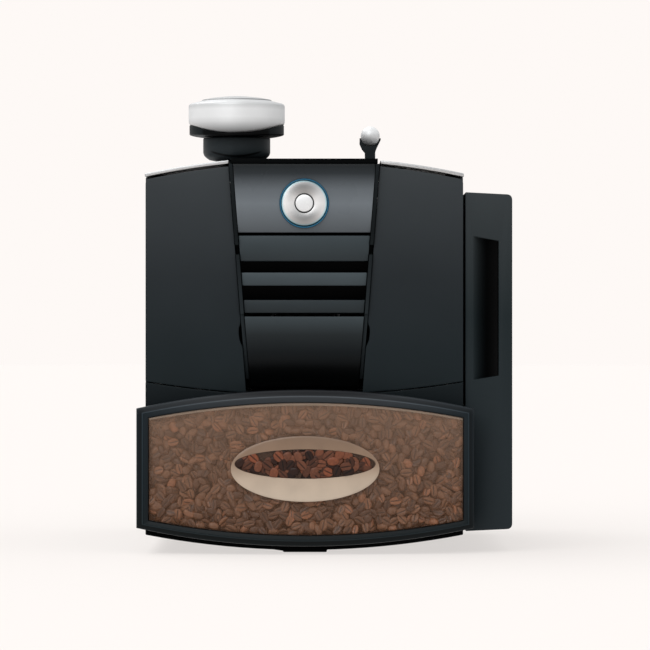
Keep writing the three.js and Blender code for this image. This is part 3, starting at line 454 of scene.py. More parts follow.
def roasted(name, dark, light, gloss, sheen):
    """Roasted bean skin: each bean's own tone from its `shade` attribute, mottled, with an oily sheen, a
    painted shade along its crease and slightly lighter painted lips beside it.
    """
    made = Nodes(name, gloss)
    red = (light[0] * 1.4, light[1] * 1.15, light[2])
    base = made.ramp(made.attribute("shade"), [(0.0, dark), (0.75, light), (1.0, red)])
    # Painted shade in the crease, with a painted highlight on its lips.
    crease_shade = made.ramp(made.attribute("fold"), toned(PLAIN, (0.0, 1.0), (0.3, 1.2), (0.55, 0.5), (0.8, 0.18)))
    mottle = made.ramp(made.noise(700.0, 4.0), toned(PLAIN, (0.25, 0.72), (0.75, 1.25)))
    made.color(made.times(made.times(base, crease_shade), mottle))
    made.specular(sheen)
    made.roughness(made.noise(500.0, 3.0), 0.08)
    made.bump(made.noise(1400.0, 3.0), 0.05 * MM)
    return made.material


def hazed(name):
    """The display pane: clear, with a warm haze that grows lighter and denser towards its top, and a lighter
    band along its top edge.
    """
    made = Nodes(name, 0.12)
    rise = made.attribute("rise")
    warm = (0.26, 0.165, 0.115)
    top_band = (0.34, 0.26, 0.20)
    made.color(made.ramp(rise, [
        (0.0, (0.14, 0.070, 0.040)), (0.9, warm), (0.975, warm), (0.985, top_band), (1.0, top_band)]))
    cover = made.ramp(rise, toned(PLAIN, (0.0, 0.16), (0.8, 0.24), (0.975, 0.30), (0.985, 0.6)))
    made.link(cover, made.shader.inputs["Alpha"])
    made.specular(0.12)
    made.bump(made.noise(40.0, 2.0), 0.01 * MM)
    return made.material


def cream(name):
    """The badge's enamel: cream at its foot, tan at its top."""
    made = Nodes(name, 0.35)
    tone = made.ramp(made.height(*BADGE[4:6]), [
        (0.0, (0.50, 0.41, 0.32)), (0.35, (0.42, 0.33, 0.25)), (0.6, (0.24, 0.155, 0.10)),
        (1.0, (0.17, 0.105, 0.065))])
    made.color(made.times(tone, made.clouds(60.0, 4.0, 0.92, 1.05)))
    made.roughness(made.noise(45.0, 3.0), 0.07)
    made.bump(made.noise(300.0, 2.0), 0.02 * MM)
    return made.material


def louvre_look(name, node, low, high):
    # Painted light: each louvre lighter towards its top, and each given its own brightness.
    return moulded(name, toned(COOL, (0.0, low), (1.0, high)), 0.35, 0.1, edges(node)[4:6])


# Painted light and shade by height (0 at the foot of each span, 1 at its top): the front panels lighter
# towards the top, the aprons a darker, shaded copy of the same plastic, the tank darker across its middle and
# lighter at its top.
PANEL_TONE = [(0.42, (0.0090, 0.0138, 0.0162)), (0.51, (0.0103, 0.0152, 0.0178)),
              (0.71, (0.0170, 0.0212, 0.0244)), (0.93, (0.0325, 0.0380, 0.0420)),
              (1.0, (0.040, 0.046, 0.050))]
APRON_TONE = [(0.36, (0.0042, 0.0070, 0.0086)), (0.44, (0.0066, 0.0102, 0.0122))]
TANK_TONE = [(0.0, (0.0175, 0.0235, 0.0270)), (0.27, (0.0175, 0.0235, 0.0270)),
             (0.61, (0.0130, 0.0187, 0.0210)), (0.88, (0.0295, 0.0355, 0.0385)), (1.0, (0.036, 0.042, 0.046))]
# Painted highlight on the fascia: a bright band across its lower middle, fading to near black at its top; the
# crowned face's own reflection adds to it.
FASCIA_TONE = toned(STEELY, (0.0, 0.080), (0.11, 0.100), (0.42, 0.148), (0.62, 0.112))
FASCIA_TONE += [(0.86, grey(0.024, (0.85, 1.02, 1.16))), (1.0, grey(0.010, COOL))]
# Painted shade on the spout cover: black at its turned-under foot, growing lighter towards its top.
SPOUT_TONE = toned(COOL, (0.0, 0.0012), (0.3, 0.0016))
SPOUT_TONE += [(0.52, grey(0.0058, (0.65, 1.03, 1.3)))]
SPOUT_TONE += toned(COOL, (0.75, 0.018), (1.0, 0.052))
# Painted highlight and shade by height: the knob cap dark at its bowed foot, brightest across its middle,
# with a dark painted line where its top disc begins; the lever ball darker towards its foot.
CAP_TONE = [(0.0, 0.07), (0.05, 0.20), (0.14, 0.36), (0.3, 0.66), (0.42, 0.80), (0.62, 0.80), (0.74, 0.62),
            (0.795, 0.55), (0.87, 0.50), (0.885, 0.16), (0.905, 0.42), (1.0, 0.52)]
BALL_TONE = [(0.0, 0.36), (0.3, 0.55), (0.6, 0.70), (1.0, 0.74)]

LOOKS = {
    "anthracite": moulded("anthracite", PANEL_TONE, 0.42, 0.08),
    "apron": moulded("apron_moulding", APRON_TONE, 0.42, 0.08),
    "tank": moulded("tank_moulding", TANK_TONE, 0.45, 0.08),
    "rails": railed("column_black"),
    "grip": scooped("grip_moulding"),
    "skirt": shaded_skirt("skirt_black"),
    "neck": grooved_collar("neck_black"),
    "void": moulded("deep_black", toned(COOL, (0.0, 0.0012), (1.0, 0.0018)), 0.5, 0.02),
    "piano": moulded("piano_black", toned(COOL, (0.0, 0.002), (1.0, 0.003)), 0.3, 0.06),
    "collar": moulded("lever_black", toned(COOL, (0.0, 0.010), (1.0, 0.014)), 0.4, 0.1),
    "matt": plain("matt_black", grey(0.006, COOL), 0.62, depth=0.03 * MM),
    "frame": banded("blue_black"),
    "fascia": moulded("fascia_lacquer", FASCIA_TONE, 0.3, 0.1, FASCIA[4:6]),
    "upper": louvre_look("upper_louvre", "louvre_upper", 0.030, 0.052),
    "middle": louvre_look("middle_louvre", "louvre_middle", 0.052, 0.070),
    "lower": louvre_look("lower_louvre", "louvre_lower", 0.023, 0.033),
    "spout": moulded("spout_lacquer", SPOUT_TONE, 0.35, 0.1, SPOUT[4:6]),
    "grey_plastic": plain("grey_moulding", grey(0.10), 0.55, depth=0.03 * MM),
    "smoked": plain("smoked_moulding", (0.06, 0.045, 0.035), 0.25),
    "rubber": plain("foot_rubber", grey(0.01), 0.85, depth=0.05 * MM),
    "zinc": plain("zinc_plate", grey(0.42), 0.38, 1.0, 0.01 * MM),
    "dark_zinc": plain("black_zinc", grey(0.03), 0.5, 1.0, 0.01 * MM),
    "roof": brushed("roof_aluminium", (0.52, 0.525, 0.53), (1.0, 0.03, 1.0), 0.42),
    "cap": polished("cap_chrome", KNOB[4:6], CAP_TONE, 0.42, 0.4),
    "ball": polished("ball_chrome", BALL[4:6], BALL_TONE, 0.42, 0.3),
    "button": polished("button_chrome", DIAL[4:6], [(0.3, 0.74), (0.7, 0.86)], 0.4, 0.5),
    "bright": brushed("satin_chrome", (0.9, 0.905, 0.91), (1.0, 1.0, 0.05), 0.22, 0.003 * MM),
    "grille": brushed("grille_steel", (0.6, 0.61, 0.62), (0.03, 1.0, 1.0)),
    "brass": plain("pump_brass", (0.55, 0.38, 0.14), 0.35, 1.0, 0.01 * MM),
    "ceramic": plain("burr_ceramic", (0.75, 0.73, 0.67)),
    "board": plain("board_laminate", (0.015, 0.10, 0.045), 0.4),
    "float": plain("float_red", (0.42, 0.018, 0.012), 0.45),
    "dial": turned_metal("dial_facing", (DIAL_X, DIAL_Z), (DIAL[1] - DIAL[0]) / 2),
    "glow": glowing("light_guide", (0.005, 0.060, 0.11), 0.8),
    "bean": roasted("display_bean", (0.075, 0.034, 0.018), (0.25, 0.118, 0.062), 0.36, 0.5),
    "dark_bean": roasted("badge_bean", (0.012, 0.0040, 0.0024), (0.13, 0.047, 0.025), 0.34, 0.2),
    "haze": hazed("display_pane"),
    "cream": cream("cream_inlay"),
    "bean_bed": plain("bean_bed", (0.055, 0.028, 0.017), 0.8, depth=0.2 * MM),
}

# ------------------------------------------------------------------ mesh helpers


def new_object(name, mesh):
    made = bpy.data.objects.new(name, mesh)
    bpy.context.scene.collection.objects.link(made)
    return made


def mesh_of(name, points, faces):
    mesh = bpy.data.meshes.new(name)
    mesh.from_pydata([tuple(p) for p in points], [], faces)
    work = bmesh.new()
    work.from_mesh(mesh)
    bmesh.ops.recalc_face_normals(work, faces=work.faces)
    work.to_mesh(mesh)
    work.free()
    return mesh


def applied(made):
    """The object with its modifiers worked into its mesh."""
    graph = bpy.context.evaluated_depsgraph_get()
    done = bpy.data.meshes.new_from_object(made.evaluated_get(graph))
    made.modifiers.clear()
    made.data = done
    return made


def softened(made, width, segments=3, angle=35.0):
    """Rounds the sharp edges and shades the rest smooth."""
    bevel = made.modifiers.new("edges", "BEVEL")
    bevel.width = width
    bevel.segments = segments
    bevel.limit_method = "ANGLE"
    bevel.angle_limit = math.radians(angle)
    applied(made)
    made.data.shade_smooth()
    made.data.set_sharp_from_angle(angle=math.radians(40.0))
    return made


def placed(made, body, look, slot, *nodes):
    """Gives a piece its look and its body and hides the CAD nodes that it stands for; the slot argument is
    not used.
    """
    made.data.materials.clear()
    made.data.materials.append(LOOKS[look])
    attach(made, body)
    if nodes:
        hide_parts(*nodes)
    return made


def carved(made, *tools):
    """Cuts the tools' shapes out of a piece."""
    for tool in tools:
        cut = made.modifiers.new("cut", "BOOLEAN")
        cut.operation = "DIFFERENCE"
        cut.solver = "EXACT"
        cut.object = tool
        applied(made)
        bpy.data.objects.remove(tool)
    return made


def block(name, x0, x1, y0, y1, z0, z1):
    points = [(x, y, z) for x in (x0, x1) for y in (y0, y1) for z in (z0, z1)]
    faces = [(0, 1, 3, 2), (4, 6, 7, 5), (0, 4, 5, 1), (2, 3, 7, 6), (0, 2, 6, 4), (1, 5, 7, 3)]
    return new_object(name, mesh_of(name, points, faces))


def sheet(name, point, columns, rows, depth):
    """Closed panel: its front is point(u, v) on a grid, its back stands `depth` behind."""
    front = [point(i / columns, j / rows) for j in range(rows + 1) for i in range(columns + 1)]
    points = front + [p + Vector((0, depth, 0)) for p in front]
    count = len(front)
    wide = columns + 1
    faces = []
    for j in range(rows):
        for i in range(columns):
            a = j * wide + i
            quad = (a, a + 1, a + wide + 1, a + wide)
            faces.append(quad)
            faces.append(tuple(k + count for k in reversed(quad)))
    rim = list(range(wide))
    rim += [j * wide + columns for j in range(1, rows + 1)]
    rim += [rows * wide + i for i in range(columns - 1, -1, -1)]
    rim += [j * wide for j in range(rows - 1, 0, -1)]
    for a, b in zip(rim, rim[1:] + rim[:1]):
        faces.append((a, b, b + count, a + count))
    return new_object(name, mesh_of(name, points, faces))


def spun(name, rings, segments, place):
    """Closed turned piece from rings of (radius, along): place(cos, sin, radius, along) gives each point."""
    points = []
    rows = []
    for radius, along in rings:
        if radius == 0:
            rows.append([len(points)] * segments)
            points.append(place(1.0, 0.0, 0.0, along))
            continue
        row = []
        for k in range(segments):
            angle = 2 * math.pi * k / segments
            row.append(len(points))
            points.append(place(math.cos(angle), math.sin(angle), radius, along))
        rows.append(row)
    if rings[0][0] != 0:
        rows.append(rows[0])
    faces = []
    for low, high in zip(rows, rows[1:]):
        for k in range(segments):
            corner = [low[k], low[(k + 1) % segments], high[(k + 1) % segments], high[k]]
            kept = [c for n, c in enumerate(corner) if c != corner[n - 1]]
            if len(kept) > 2:
                faces.append(tuple(kept))
    return new_object(name, mesh_of(name, points, faces))


def refined(node, body, look, slot, width=0.6 * MM, segments=2):
    """A copy of a CAD node with its flat facets merged and its edges rounded, standing for the node."""
    mesh = frame["nodes"][node].data.copy()
    work = bmesh.new()
    work.from_mesh(mesh)
    bmesh.ops.remove_doubles(work, verts=work.verts, dist=0.002 * MM)
    bmesh.ops.dissolve_limit(work, angle_limit=math.radians(1.0), verts=work.verts, edges=work.edges)
    bmesh.ops.recalc_face_normals(work, faces=work.faces)
    work.to_mesh(mesh)
    work.free()
    made = new_object(node + "_moulded", mesh)
    softened(made, width, segments, 32.0)
    return placed(made, body, look, slot, node)


# ------------------------------------------------------------------ casing

BODY = "machine_body"
SCALLOP_Z = 179.2 * MM
SCALLOP_HALF = 8.6 * MM
SCALLOP_DEEP = 2.2 * MM


def column_edge(z):
    """How far the front panel's inner edge stands from the column's middle, with its finger scallop."""
    reach = column_half(z) + RAIL_CLEAR
    u = (z - SCALLOP_Z) / SCALLOP_HALF
    if abs(u) < 1:
        reach += SCALLOP_DEEP * math.sqrt(1 - u * u)
    return reach


def front_panel(side, name):
    """Curved front panel: side -1 is the left one. Its outer top corner is rounded."""
    outer = BODY_X + side * BODY_HALF
    corner = 3 * MM

    def top(x):
        drop = 0.0
        into = corner - abs(outer - x)
        if into > 0:
            drop = corner - math.sqrt(max(0.0, corner * corner - into * into))
        return roof_top(x) - ROOF_THICK - ROOF_GAP - drop

    def point(u, v):
        z = 230 * MM  # where the search starts; four rounds settle it
        for _ in range(4):
            inner = BODY_X + side * column_edge(z)
            x = outer + (inner - outer) * u
            z = seam_line(x) + (top(x) - seam_line(x)) * v
        return Vector((x, panel_front(x), z))

    made = sheet(name, point, 44, 90, PANEL_THICK)
    softened(made, 0.5 * MM, 3, 50.0)
    node = "front_panel_left" if side < 0 else "front_panel_right"
    return placed(made, BODY, "anthracite", "anthracite_plastic", node)


def apron(side, name):
    """Lens-shaped lower panel between the seam and the door."""
    node = "apron_left" if side < 0 else "apron_right"
    x0, x1, _, _, z0, _ = edges(node)

    def point(u, v):
        x = x0 + (x1 - x0) * u
        return Vector((x, panel_front(x), z0 + (seam_line(x) - 0.8 * MM - z0) * v))

    made = sheet(name, point, 36, 14, PANEL_THICK)
    softened(made, 0.4 * MM, 3, 50.0)
    return placed(made, BODY, "apron", "anthracite_plastic", node)


front_panel(-1, "left_front_panel")
front_panel(1, "right_front_panel")
apron(-1, "left_apron")
apron(1, "right_apron")

FEET = [(f"foot_{number}", "rubber", "foot_rubber", 0.8) for number in range(1, 5)]
CASING = [
    ("side_cover_left", "anthracite", "anthracite_plastic", 0.8),
    ("side_cover_right", "anthracite", "anthracite_plastic", 0.8),
    ("rear_cover", "matt", "black_matte_plastic", 0.5),
    ("roof_left", "roof", "satin_aluminium", 0.7),
    ("roof_right", "roof", "satin_aluminium", 0.7),
    ("roof_centre", "void", "black_gloss_plastic", 0.7),
    ("chassis_frame", "zinc", "zinc_steel", 0.6),
    ("column_frame", "rails", "black_gloss_plastic", 0.5),
    ("louvre_upper", "upper", "grey_gloss_plastic", 0.7),
    ("louvre_middle", "middle", "grey_gloss_plastic", 0.7),
    ("louvre_lower", "lower", "grey_gloss_plastic", 0.7),
    ("bay_liner", "matt", "black_matte_plastic", 0.5),
    ("water_nozzle", "bright", "brushed_metal", 0.4),
    ("bean_hopper", "smoked", "smoked_plastic", 0.5),
    ("grinder_housing", "grey_plastic", "grey_plastic", 0.6),
    ("grinder_motor", "dark_zinc", "zinc_steel", 0.6),
    ("ring_burr", "ceramic", "burr_ceramic", 0.4),
    ("brew_cylinder", "grey_plastic", "grey_plastic", 0.6),
    ("thermoblock", "roof", "satin_aluminium", 0.6),
    ("water_pump", "brass", "pump_brass", 0.6),
    ("control_board", "board", "board_laminate", 0.3),
    ("power_inlet", "matt", "black_matte_plastic", 0.4),
]
for node, look, slot, width in [("base_pan", "void", "black_matte_plastic", 0.8)] + FEET + CASING:
    refined(node, BODY, look, slot, width * MM)

# ------------------------------------------------------------------ column and dial


def about_dial(c, s, r, y):
    """Point of a turned piece of the dial."""
    return Vector((BODY_X + r * c, y, DIAL_Z + r * s))


def control_fascia():
    """Crowned lacquered fascia with the dial's hole."""
    x0, x1, y0, y1, z0, z1 = FASCIA
    middle = (z0 + z1) / 2
    half = (z1 - z0) / 2

    def point(u, v):
        z = z0 + (z1 - z0) * v
        reach = column_half(z) - COLUMN_CLEAR
        return Vector((BODY_X + reach * (2 * u - 1), bowed(z, middle, half, y0, PANEL_Y), z))

    made = sheet("fascia_panel", point, 60, 30, y1 - PANEL_Y - 0.2 * MM)
    ring = edges("light_ring")
    radius = (ring[1] - ring[0]) / 2 + 0.3 * MM
    before = y0 - 30 * MM
    behind = y1 + 50 * MM
    hole = spun("dial_hole", [(0, before), (radius, before), (radius, behind), (0, behind)], 96, about_dial)
    carved(made, hole)
    softened(made, 0.35 * MM, 2, 50.0)
    return placed(made, BODY, "fascia", "grey_gloss_plastic", "control_fascia")


def dial_piece(name, rings, body, look, slot, node):
    made = spun(name, [(r * MM, y) for r, y in rings], 96, about_dial)
    softened(made, 0.15 * MM, 2, 40.0)
    return placed(made, body, look, slot, node)


def dial():
    """The ring that turns, the button inside it and the lit ring round it."""
    front, back = DIAL[2:4]
    dial_piece("dial_ring", [
        (8.0, back), (18.7, back), (18.8, front + 1.2 * MM), (18.2, front + 0.3 * MM), (17.6, front),
        (9.0, front + 0.25 * MM), (8.2, front + 0.6 * MM), (7.9, front + 1.4 * MM)],
        "selector", "dial", "brushed_metal", "selector_ring")
    front, back = edges("select_button")[2:4]
    dial_piece("dial_button", [
        (0, back), (7.0, back), (7.2, front + 1.2 * MM), (6.7, front + 0.5 * MM), (5.0, front + 0.15 * MM),
        (0, front)], "button", "button", "bright_metal", "select_button")
    front, back = edges("light_ring")[2:4]
    dial_piece("dial_glow", [
        (19.2, back), (20.1, back), (20.1, front + 0.4 * MM), (19.8, front), (19.2, front + 0.2 * MM)],
        BODY, "glow", "glow_ring", "light_ring")


def spout_cover():
    """Quarter-ellipse cover: upright at its top, turned under at its foot."""
    x0, x1, y0, y1, z0, z1 = SPOUT
    skin = 3 * MM
    deep = y1 - y0 - skin

    def point(u, v):
        angle = (1 - v) * math.pi / 2
        z = z1 - (z1 - z0) * math.sin(angle)
        reach = column_half(z) - COLUMN_CLEAR
        return Vector((BODY_X + reach * (2 * u - 1), y0 + deep * (1 - math.cos(angle)), z))

    made = sheet("spout_hood", point, 40, 40, skin)
    softened(made, 0.5 * MM, 3, 50.0)
    return placed(made, "spout", "spout", "grey_gloss_plastic", "spout_cover")


control_fascia()
dial()
spout_cover()
refined("spout_block", "spout", "matt", "black_matte_plastic", 0.8 * MM)

# ------------------------------------------------------------------ knob and lever


def knob():
    """Bright barrel-shaped cap with a bowed lower edge, over its dark skirt."""
    low, top = KNOB[4:6]
    r = KNOB_R
    under_rise = 8.9 * MM
    flat = -0.0001 * MM

    def place(c, s, radius, along):
        """A ring's height: above the bowed lower edge by -along up to 0, and the height itself past it."""
        x = KNOB_X + radius * c
        z = bowed(x, KNOB_X, KNOB_R, low, low + under_rise) - along if along <= 0 else along
        return Vector((x, KNOB_Y + radius * s, z))

    rings = [(0, flat), (r * 0.6, flat), (r - 1.2 * MM, flat), (r - 0.5 * MM, -0.4 * MM),
             (r - 0.1 * MM, -1.4 * MM), (r, -3.5 * MM)]
    rings += [(r, top - 9.0 * MM), (r - 0.15 * MM, top - 7.9 * MM), (r - 0.7 * MM, top - 7.0 * MM),
              (r - 1.8 * MM, top - 6.3 * MM), (29.6 * MM, top - 4.1 * MM), (29.2 * MM, top - 3.8 * MM),
              (29.2 * MM, top - 3.3 * MM), (28.2 * MM, top - 2.9 * MM), (21.5 * MM, top - 1.6 * MM),
              (11 * MM, top - 0.4 * MM), (0, top)]
    made = spun("knob_bright_cap", rings, 96, place)
    softened(made, 0.2 * MM, 2, 45.0)
    placed(made, "knob", "cap", "bright_metal", "knob_cap")
    refined("knob_skirt", "knob", "skirt", "black_gloss_plastic", 0.8 * MM, 3)
    refined("knob_collar", BODY, "neck", "black_gloss_plastic", 0.8 * MM, 3)


def lever():
    """Bright ball on its slim dark arm."""
    radius = (BALL[1] - BALL[0]) / 2
    x = (BALL[0] + BALL[1]) / 2
    y = (BALL[2] + BALL[3]) / 2
    z = (BALL[4] + BALL[5]) / 2
    steps = 24
    rings = []
    for k in range(steps + 1):
        angle = math.pi * k / steps - math.pi / 2
        rings.append((0 if k in (0, steps) else radius * math.cos(angle), z + radius * math.sin(angle)))
    made = spun("lever_bright_ball", rings, 48, lambda c, s, r, high: Vector((x + r * c, y + r * s, high)))
    made.data.shade_smooth()
    placed(made, "lever", "ball", "bright_metal", "lever_ball")
    refined("lever_arm", "lever", "collar", "black_gloss_plastic", 0.7 * MM, 3)


knob()
lever()

# ------------------------------------------------------------------ tank, lids, works and drawer

for node, body, look, slot, width, segments in (
    ("tank_shell", "tank", "tank", "tank_plastic", 0.8, 2),
    ("tank_grip_panel", "tank", "grip", "tank_plastic", 0.8, 3),
    ("tank_lid", "tank_cover", "tank", "tank_plastic", 0.8, 2),
    ("hopper_lid", "hopper_cover", "piano", "black_gloss_plastic", 0.5, 2),
    ("power_rocker", "rocker", "piano", "black_gloss_plastic", 0.5, 2),
    ("cone_burr", "burr", "zinc", "zinc_steel", 0.4, 2),
    ("brew_piston", "piston", "grey_plastic", "grey_plastic", 0.5, 2),
    ("drawer_front", "drawer", "matt", "black_matte_plastic", 0.4, 2),
    ("drip_tray", "drawer", "matt", "black_matte_plastic", 0.6, 2),
    ("grounds_container", "drawer", "grey_plastic", "grey_plastic", 0.8, 2),
    ("door_hinge_pin", "drawer", "zinc", "zinc_steel", 0.2, 2),
    ("drip_grille", "grille", "grille", "brushed_metal", 0.5, 2),
    ("drip_float", "float", "float", "float_red", 0.3, 2),
):
    refined(node, body, look, slot, width * MM, segments)

# ------------------------------------------------------------------ door


def outline(centre, half, low, low_rise, top, top_drop, steps, side_steps):
    """Points round an arched outline, from the lower left corner, anticlockwise from the front."""
    points = []
    for k in range(steps):
        x = centre - half + 2 * half * k / steps
        points.append((x, bowed(x, centre, half, low, low + low_rise)))
    for k in range(side_steps):
        z = low + low_rise + (top - top_drop - low - low_rise) * k / side_steps
        points.append((centre + half, z))
    for k in range(steps):
        x = centre + half - 2 * half * k / steps
        points.append((x, bowed(x, centre, half, top, top - top_drop)))
    for k in range(side_steps):
        z = top - top_drop - (top - top_drop - low - low_rise) * k / side_steps
        points.append((centre - half, z))
    return points


def door_frame():
    """Frame swept round the door with a stepped section: outer band, ridge, inner slope; the ridge is
    brightened by a painted highlight in its material.
    """
    gap = 0.3 * MM
    outer = outline(DOOR_X, DOOR_HALF, DOOR_LOW, DOOR_LOW_RISE, DOOR_TOP, DOOR_TOP_DROP, 72, 24)
    inner = outline(PANE_X, PANE_HALF + gap, PANE_LOW - gap, PANE_LOW_RISE, PANE_TOP + gap, PANE_TOP_DROP,
                    72, 24)
    section = [(0.0, 1.8), (0.03, 0.9), (0.10, 0.55), (0.42, 0.5), (0.47, 0.12), (0.50, 0.0), (0.55, 0.1),
               (0.60, 0.75), (0.92, 1.35), (0.97, 1.6), (1.0, 2.3)]
    points = []
    rows = []
    across = []
    for (ox, oz), (ix, iz) in zip(outer, inner):
        row = []
        across += [t for t, _ in section] + [1.0, 0.0]
        for t, deep in section:
            x = ox + (ix - ox) * t
            z = oz + (iz - oz) * t
            row.append(len(points))
            points.append(Vector((x, door_front(x) + deep * MM, z)))
        for x, z in ((ix, iz), (ox, oz)):
            row.append(len(points))
            points.append(Vector((x, DOOR_BACK, z)))
        rows.append(row)
    faces = []
    wide = len(rows[0])
    for a, b in zip(rows, rows[1:] + rows[:1]):
        for k in range(wide):
            n = (k + 1) % wide
            faces.append((a[k], b[k], b[n], a[n]))
    made = new_object("door_surround", mesh_of("door_surround", points, faces))
    made.data.attributes.new("across", "FLOAT", "POINT").data.foreach_set("value", across)
    swing = next(j for j in frame["joints"] if j["name"] == "door_swing")["pos_m"]
    tools = []
    for k, (z0, z1) in enumerate(HINGE_EYES):
        tools.append(block(f"eye_{k}", DOOR_LEFT - 5 * MM, swing[0] + 3.2 * MM, swing[1] - 3.7 * MM,
                           DOOR_BACK + 5 * MM, z0 - gap, z1 + gap))
    carved(made, *tools)
    made.data.shade_smooth()
    made.data.set_sharp_from_angle(angle=math.radians(42.0))
    return placed(made, "door", "frame", "blue_black_plastic", "door_frame")


def pane_point(inset, deep):
    """Point of the window's outline at a depth behind the door's front."""
    def point(u, v):
        half = PANE_HALF - inset
        x = PANE_X + half * (2 * u - 1)
        low = pane_low(x) + inset
        top = pane_top(x) - inset
        return Vector((x, door_front(x) + deep, low + (top - low) * v))
    return point


def door_window():
    columns, rows = 60, 96
    made = sheet("display_window", pane_point(0.0, PANE_INSET), columns, rows, PANE_THICK)
    grid = [j / rows for j in range(rows + 1) for _ in range(columns + 1)]
    rise = made.data.attributes.new("rise", "FLOAT", "POINT")
    rise.data.foreach_set("value", grid + grid)
    softened(made, 0.3 * MM, 2, 50.0)
    return placed(made, "door", "haze", "clear_window", "door_window")


def door_back():
    """Thin dark inner plate of the door, behind the beans."""
    thick = 1.1 * MM
    outline_point = pane_point(0.0, 0.0)

    def flat(u, v):
        p = outline_point(u, v)
        return Vector((p.x, DOOR_BACK - thick, p.z))

    made = sheet("door_inner_plate", flat, 48, 8, thick)
    softened(made, 0.2 * MM, 2, 50.0)
    return placed(made, "door", "bean_bed", "black_matte_plastic", "door_backplate")


CREASE_AT = -90
BEAN_AROUND = [CREASE_AT, -72, -45, -10, 30, 65, 90, 115, 150, 190, 225, 252]
BEAN_ALONG = 8
FLAT_SIDE = 0.4
CREASE_DEEP = 0.42


def bean_shape():
    """One bean about its middle: long axis X, width Z, rounded back towards -Y, flat creased face +Y."""
    points = [Vector((-1.0, 0.0, 0.0))]
    folds = [0.0]
    for k in range(1, BEAN_ALONG):
        along = -math.cos(math.pi * k / BEAN_ALONG)
        ring = math.sin(math.pi * k / BEAN_ALONG) ** 0.8
        for degrees in BEAN_AROUND:
            angle = math.radians(degrees)
            wide = math.cos(angle) * ring
            thick = math.sin(angle) * ring
            if thick < 0:
                thick *= FLAT_SIDE
            if degrees == CREASE_AT:
                thick += CREASE_DEEP * ring
            points.append(Vector((along, -thick, wide)))
            folds.append(1.0 if degrees == CREASE_AT else 0.0)
    points.append(Vector((1.0, 0.0, 0.0)))
    folds.append(0.0)
    around = len(BEAN_AROUND)
    faces = []
    for n in range(around):
        faces.append((0, 1 + (n + 1) % around, 1 + n))
        last = 1 + (BEAN_ALONG - 2) * around
        faces.append((len(points) - 1, last + n, last + (n + 1) % around))
        for k in range(BEAN_ALONG - 2):
            a = 1 + k * around
            faces.append((a + n, a + (n + 1) % around, a + around + (n + 1) % around, a + around + n))
    return points, faces, folds


def scattered(name, places, size, front, back, tilt, dice, kept=lambda x, z: (x, z)):
    """Beans at the given (x, z) places, each pushed up against front(x) and kept off back(x)."""
    shape, shape_faces, shape_folds = bean_shape()
    points = []
    faces = []
    shades = []
    folds = []
    for x, z, lag in places:
        long, wide, thick = (s * dice.uniform(0.88, 1.12) for s in size)
        flip = Matrix.Rotation(math.pi if dice.random() < 0.62 else 0.0, 3, "X")
        yaw = Matrix.Rotation(dice.uniform(-tilt, tilt), 3, "Z")
        pitch = Matrix.Rotation(dice.uniform(-tilt, tilt), 3, "X")
        spin = Matrix.Rotation(dice.uniform(0, math.pi), 3, "Y")
        turn = yaw @ pitch @ spin @ flip
        body = [turn @ Vector((p.x * long, p.y * thick, p.z * wide)) for p in shape]
        near = min(p.y for p in body)
        far = max(p.y for p in body)
        room = back(x) - front(x)
        squeeze = min(1.0, room / (far - near))
        lag = min(lag, room - (far - near) * squeeze)
        base = len(points)
        shade = dice.random() ** 1.4
        for p in body:
            px, pz = kept(x + p.x, z + p.z)
            points.append(Vector((px, front(x) + lag + (p.y - near) * squeeze, pz)))
            shades.append(shade)
        folds += shape_folds
        faces += [tuple(base + k for k in face) for face in shape_faces]
    mesh = mesh_of(name, points, faces)
    for label, values in (("shade", shades), ("fold", folds)):
        tone = mesh.attributes.new(label, "FLOAT", "POINT")
        tone.data.foreach_set("value", values)
    mesh.shade_smooth()
    return new_object(name, mesh)


def packed(inside, x0, x1, z0, z1, step, dice, lag, bow=lambda x: 0.0):
    """Jittered rows of places inside an area, for one layer of beans; bow lifts the rows along x."""
    places = []
    rise = step * 0.86
    row = 0
    z = z0
    while z < z1:
        x = x0 + (step / 2 if row % 2 else 0)
        while x < x1:
            px = x + dice.uniform(-0.3, 0.3) * step
            pz = z + bow(px) + dice.uniform(-0.3, 0.3) * step
            if inside(px, pz):
                places.append((px, pz, lag + dice.uniform(0, 0.9) * MM))
            x += step
        z += rise
        row += 1
    return places


BEAN_SIZE = (4.7 * MM, 3.4 * MM, 2.1 * MM)
BADGE_BEAN_SIZE = (4.6 * MM, 3.5 * MM, 0.85 * MM)


def bean_display():
    """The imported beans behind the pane: a front layer against it and a back layer in its gaps."""
    margin = 1.4 * MM
    clear = 0.1 * MM
    dice = random.Random(7)

    def inside(x, z):
        if abs(x - PANE_X) > PANE_HALF - margin:
            return False
        return pane_low(x) + margin < z < pane_top(x) - margin

    def kept(x, z):
        x = min(max(x, PANE_LEFT + clear), PANE_RIGHT - clear)
        return x, min(max(z, pane_low(x) + clear), pane_top(x) - clear)

    def front(x):
        return door_front(x) + PANE_INSET + PANE_THICK + clear

    def back(x):
        return DOOR_BACK - 1.2 * MM

    def bow(x):
        return pane_low(x) - PANE_LOW

    area = (PANE_LEFT, PANE_RIGHT, PANE_LOW + 2.8 * MM, PANE_TOP + 6 * MM)
    places = packed(inside, *area, 7.3 * MM, dice, 0.0, bow)
    places += packed(inside, *area, 6.8 * MM, dice, 3.0 * MM, bow)
    made = scattered("display_beans", places, BEAN_SIZE, front, back, 0.5, dice, kept)
    return placed(made, "door", "bean", "roasted_bean", "bean_fill")


def bed_place(c, s, r, along):
    """Point of the lens-shaped bean bed, `along` behind a plane 2 mm before the badge."""
    x = BADGE_X + BED_HALF_WIDE * r * c
    return Vector((x, door_front(x) + BADGE_FRONT - 2 * MM + along, BED_Z + BED_HALF_HIGH * r * s))


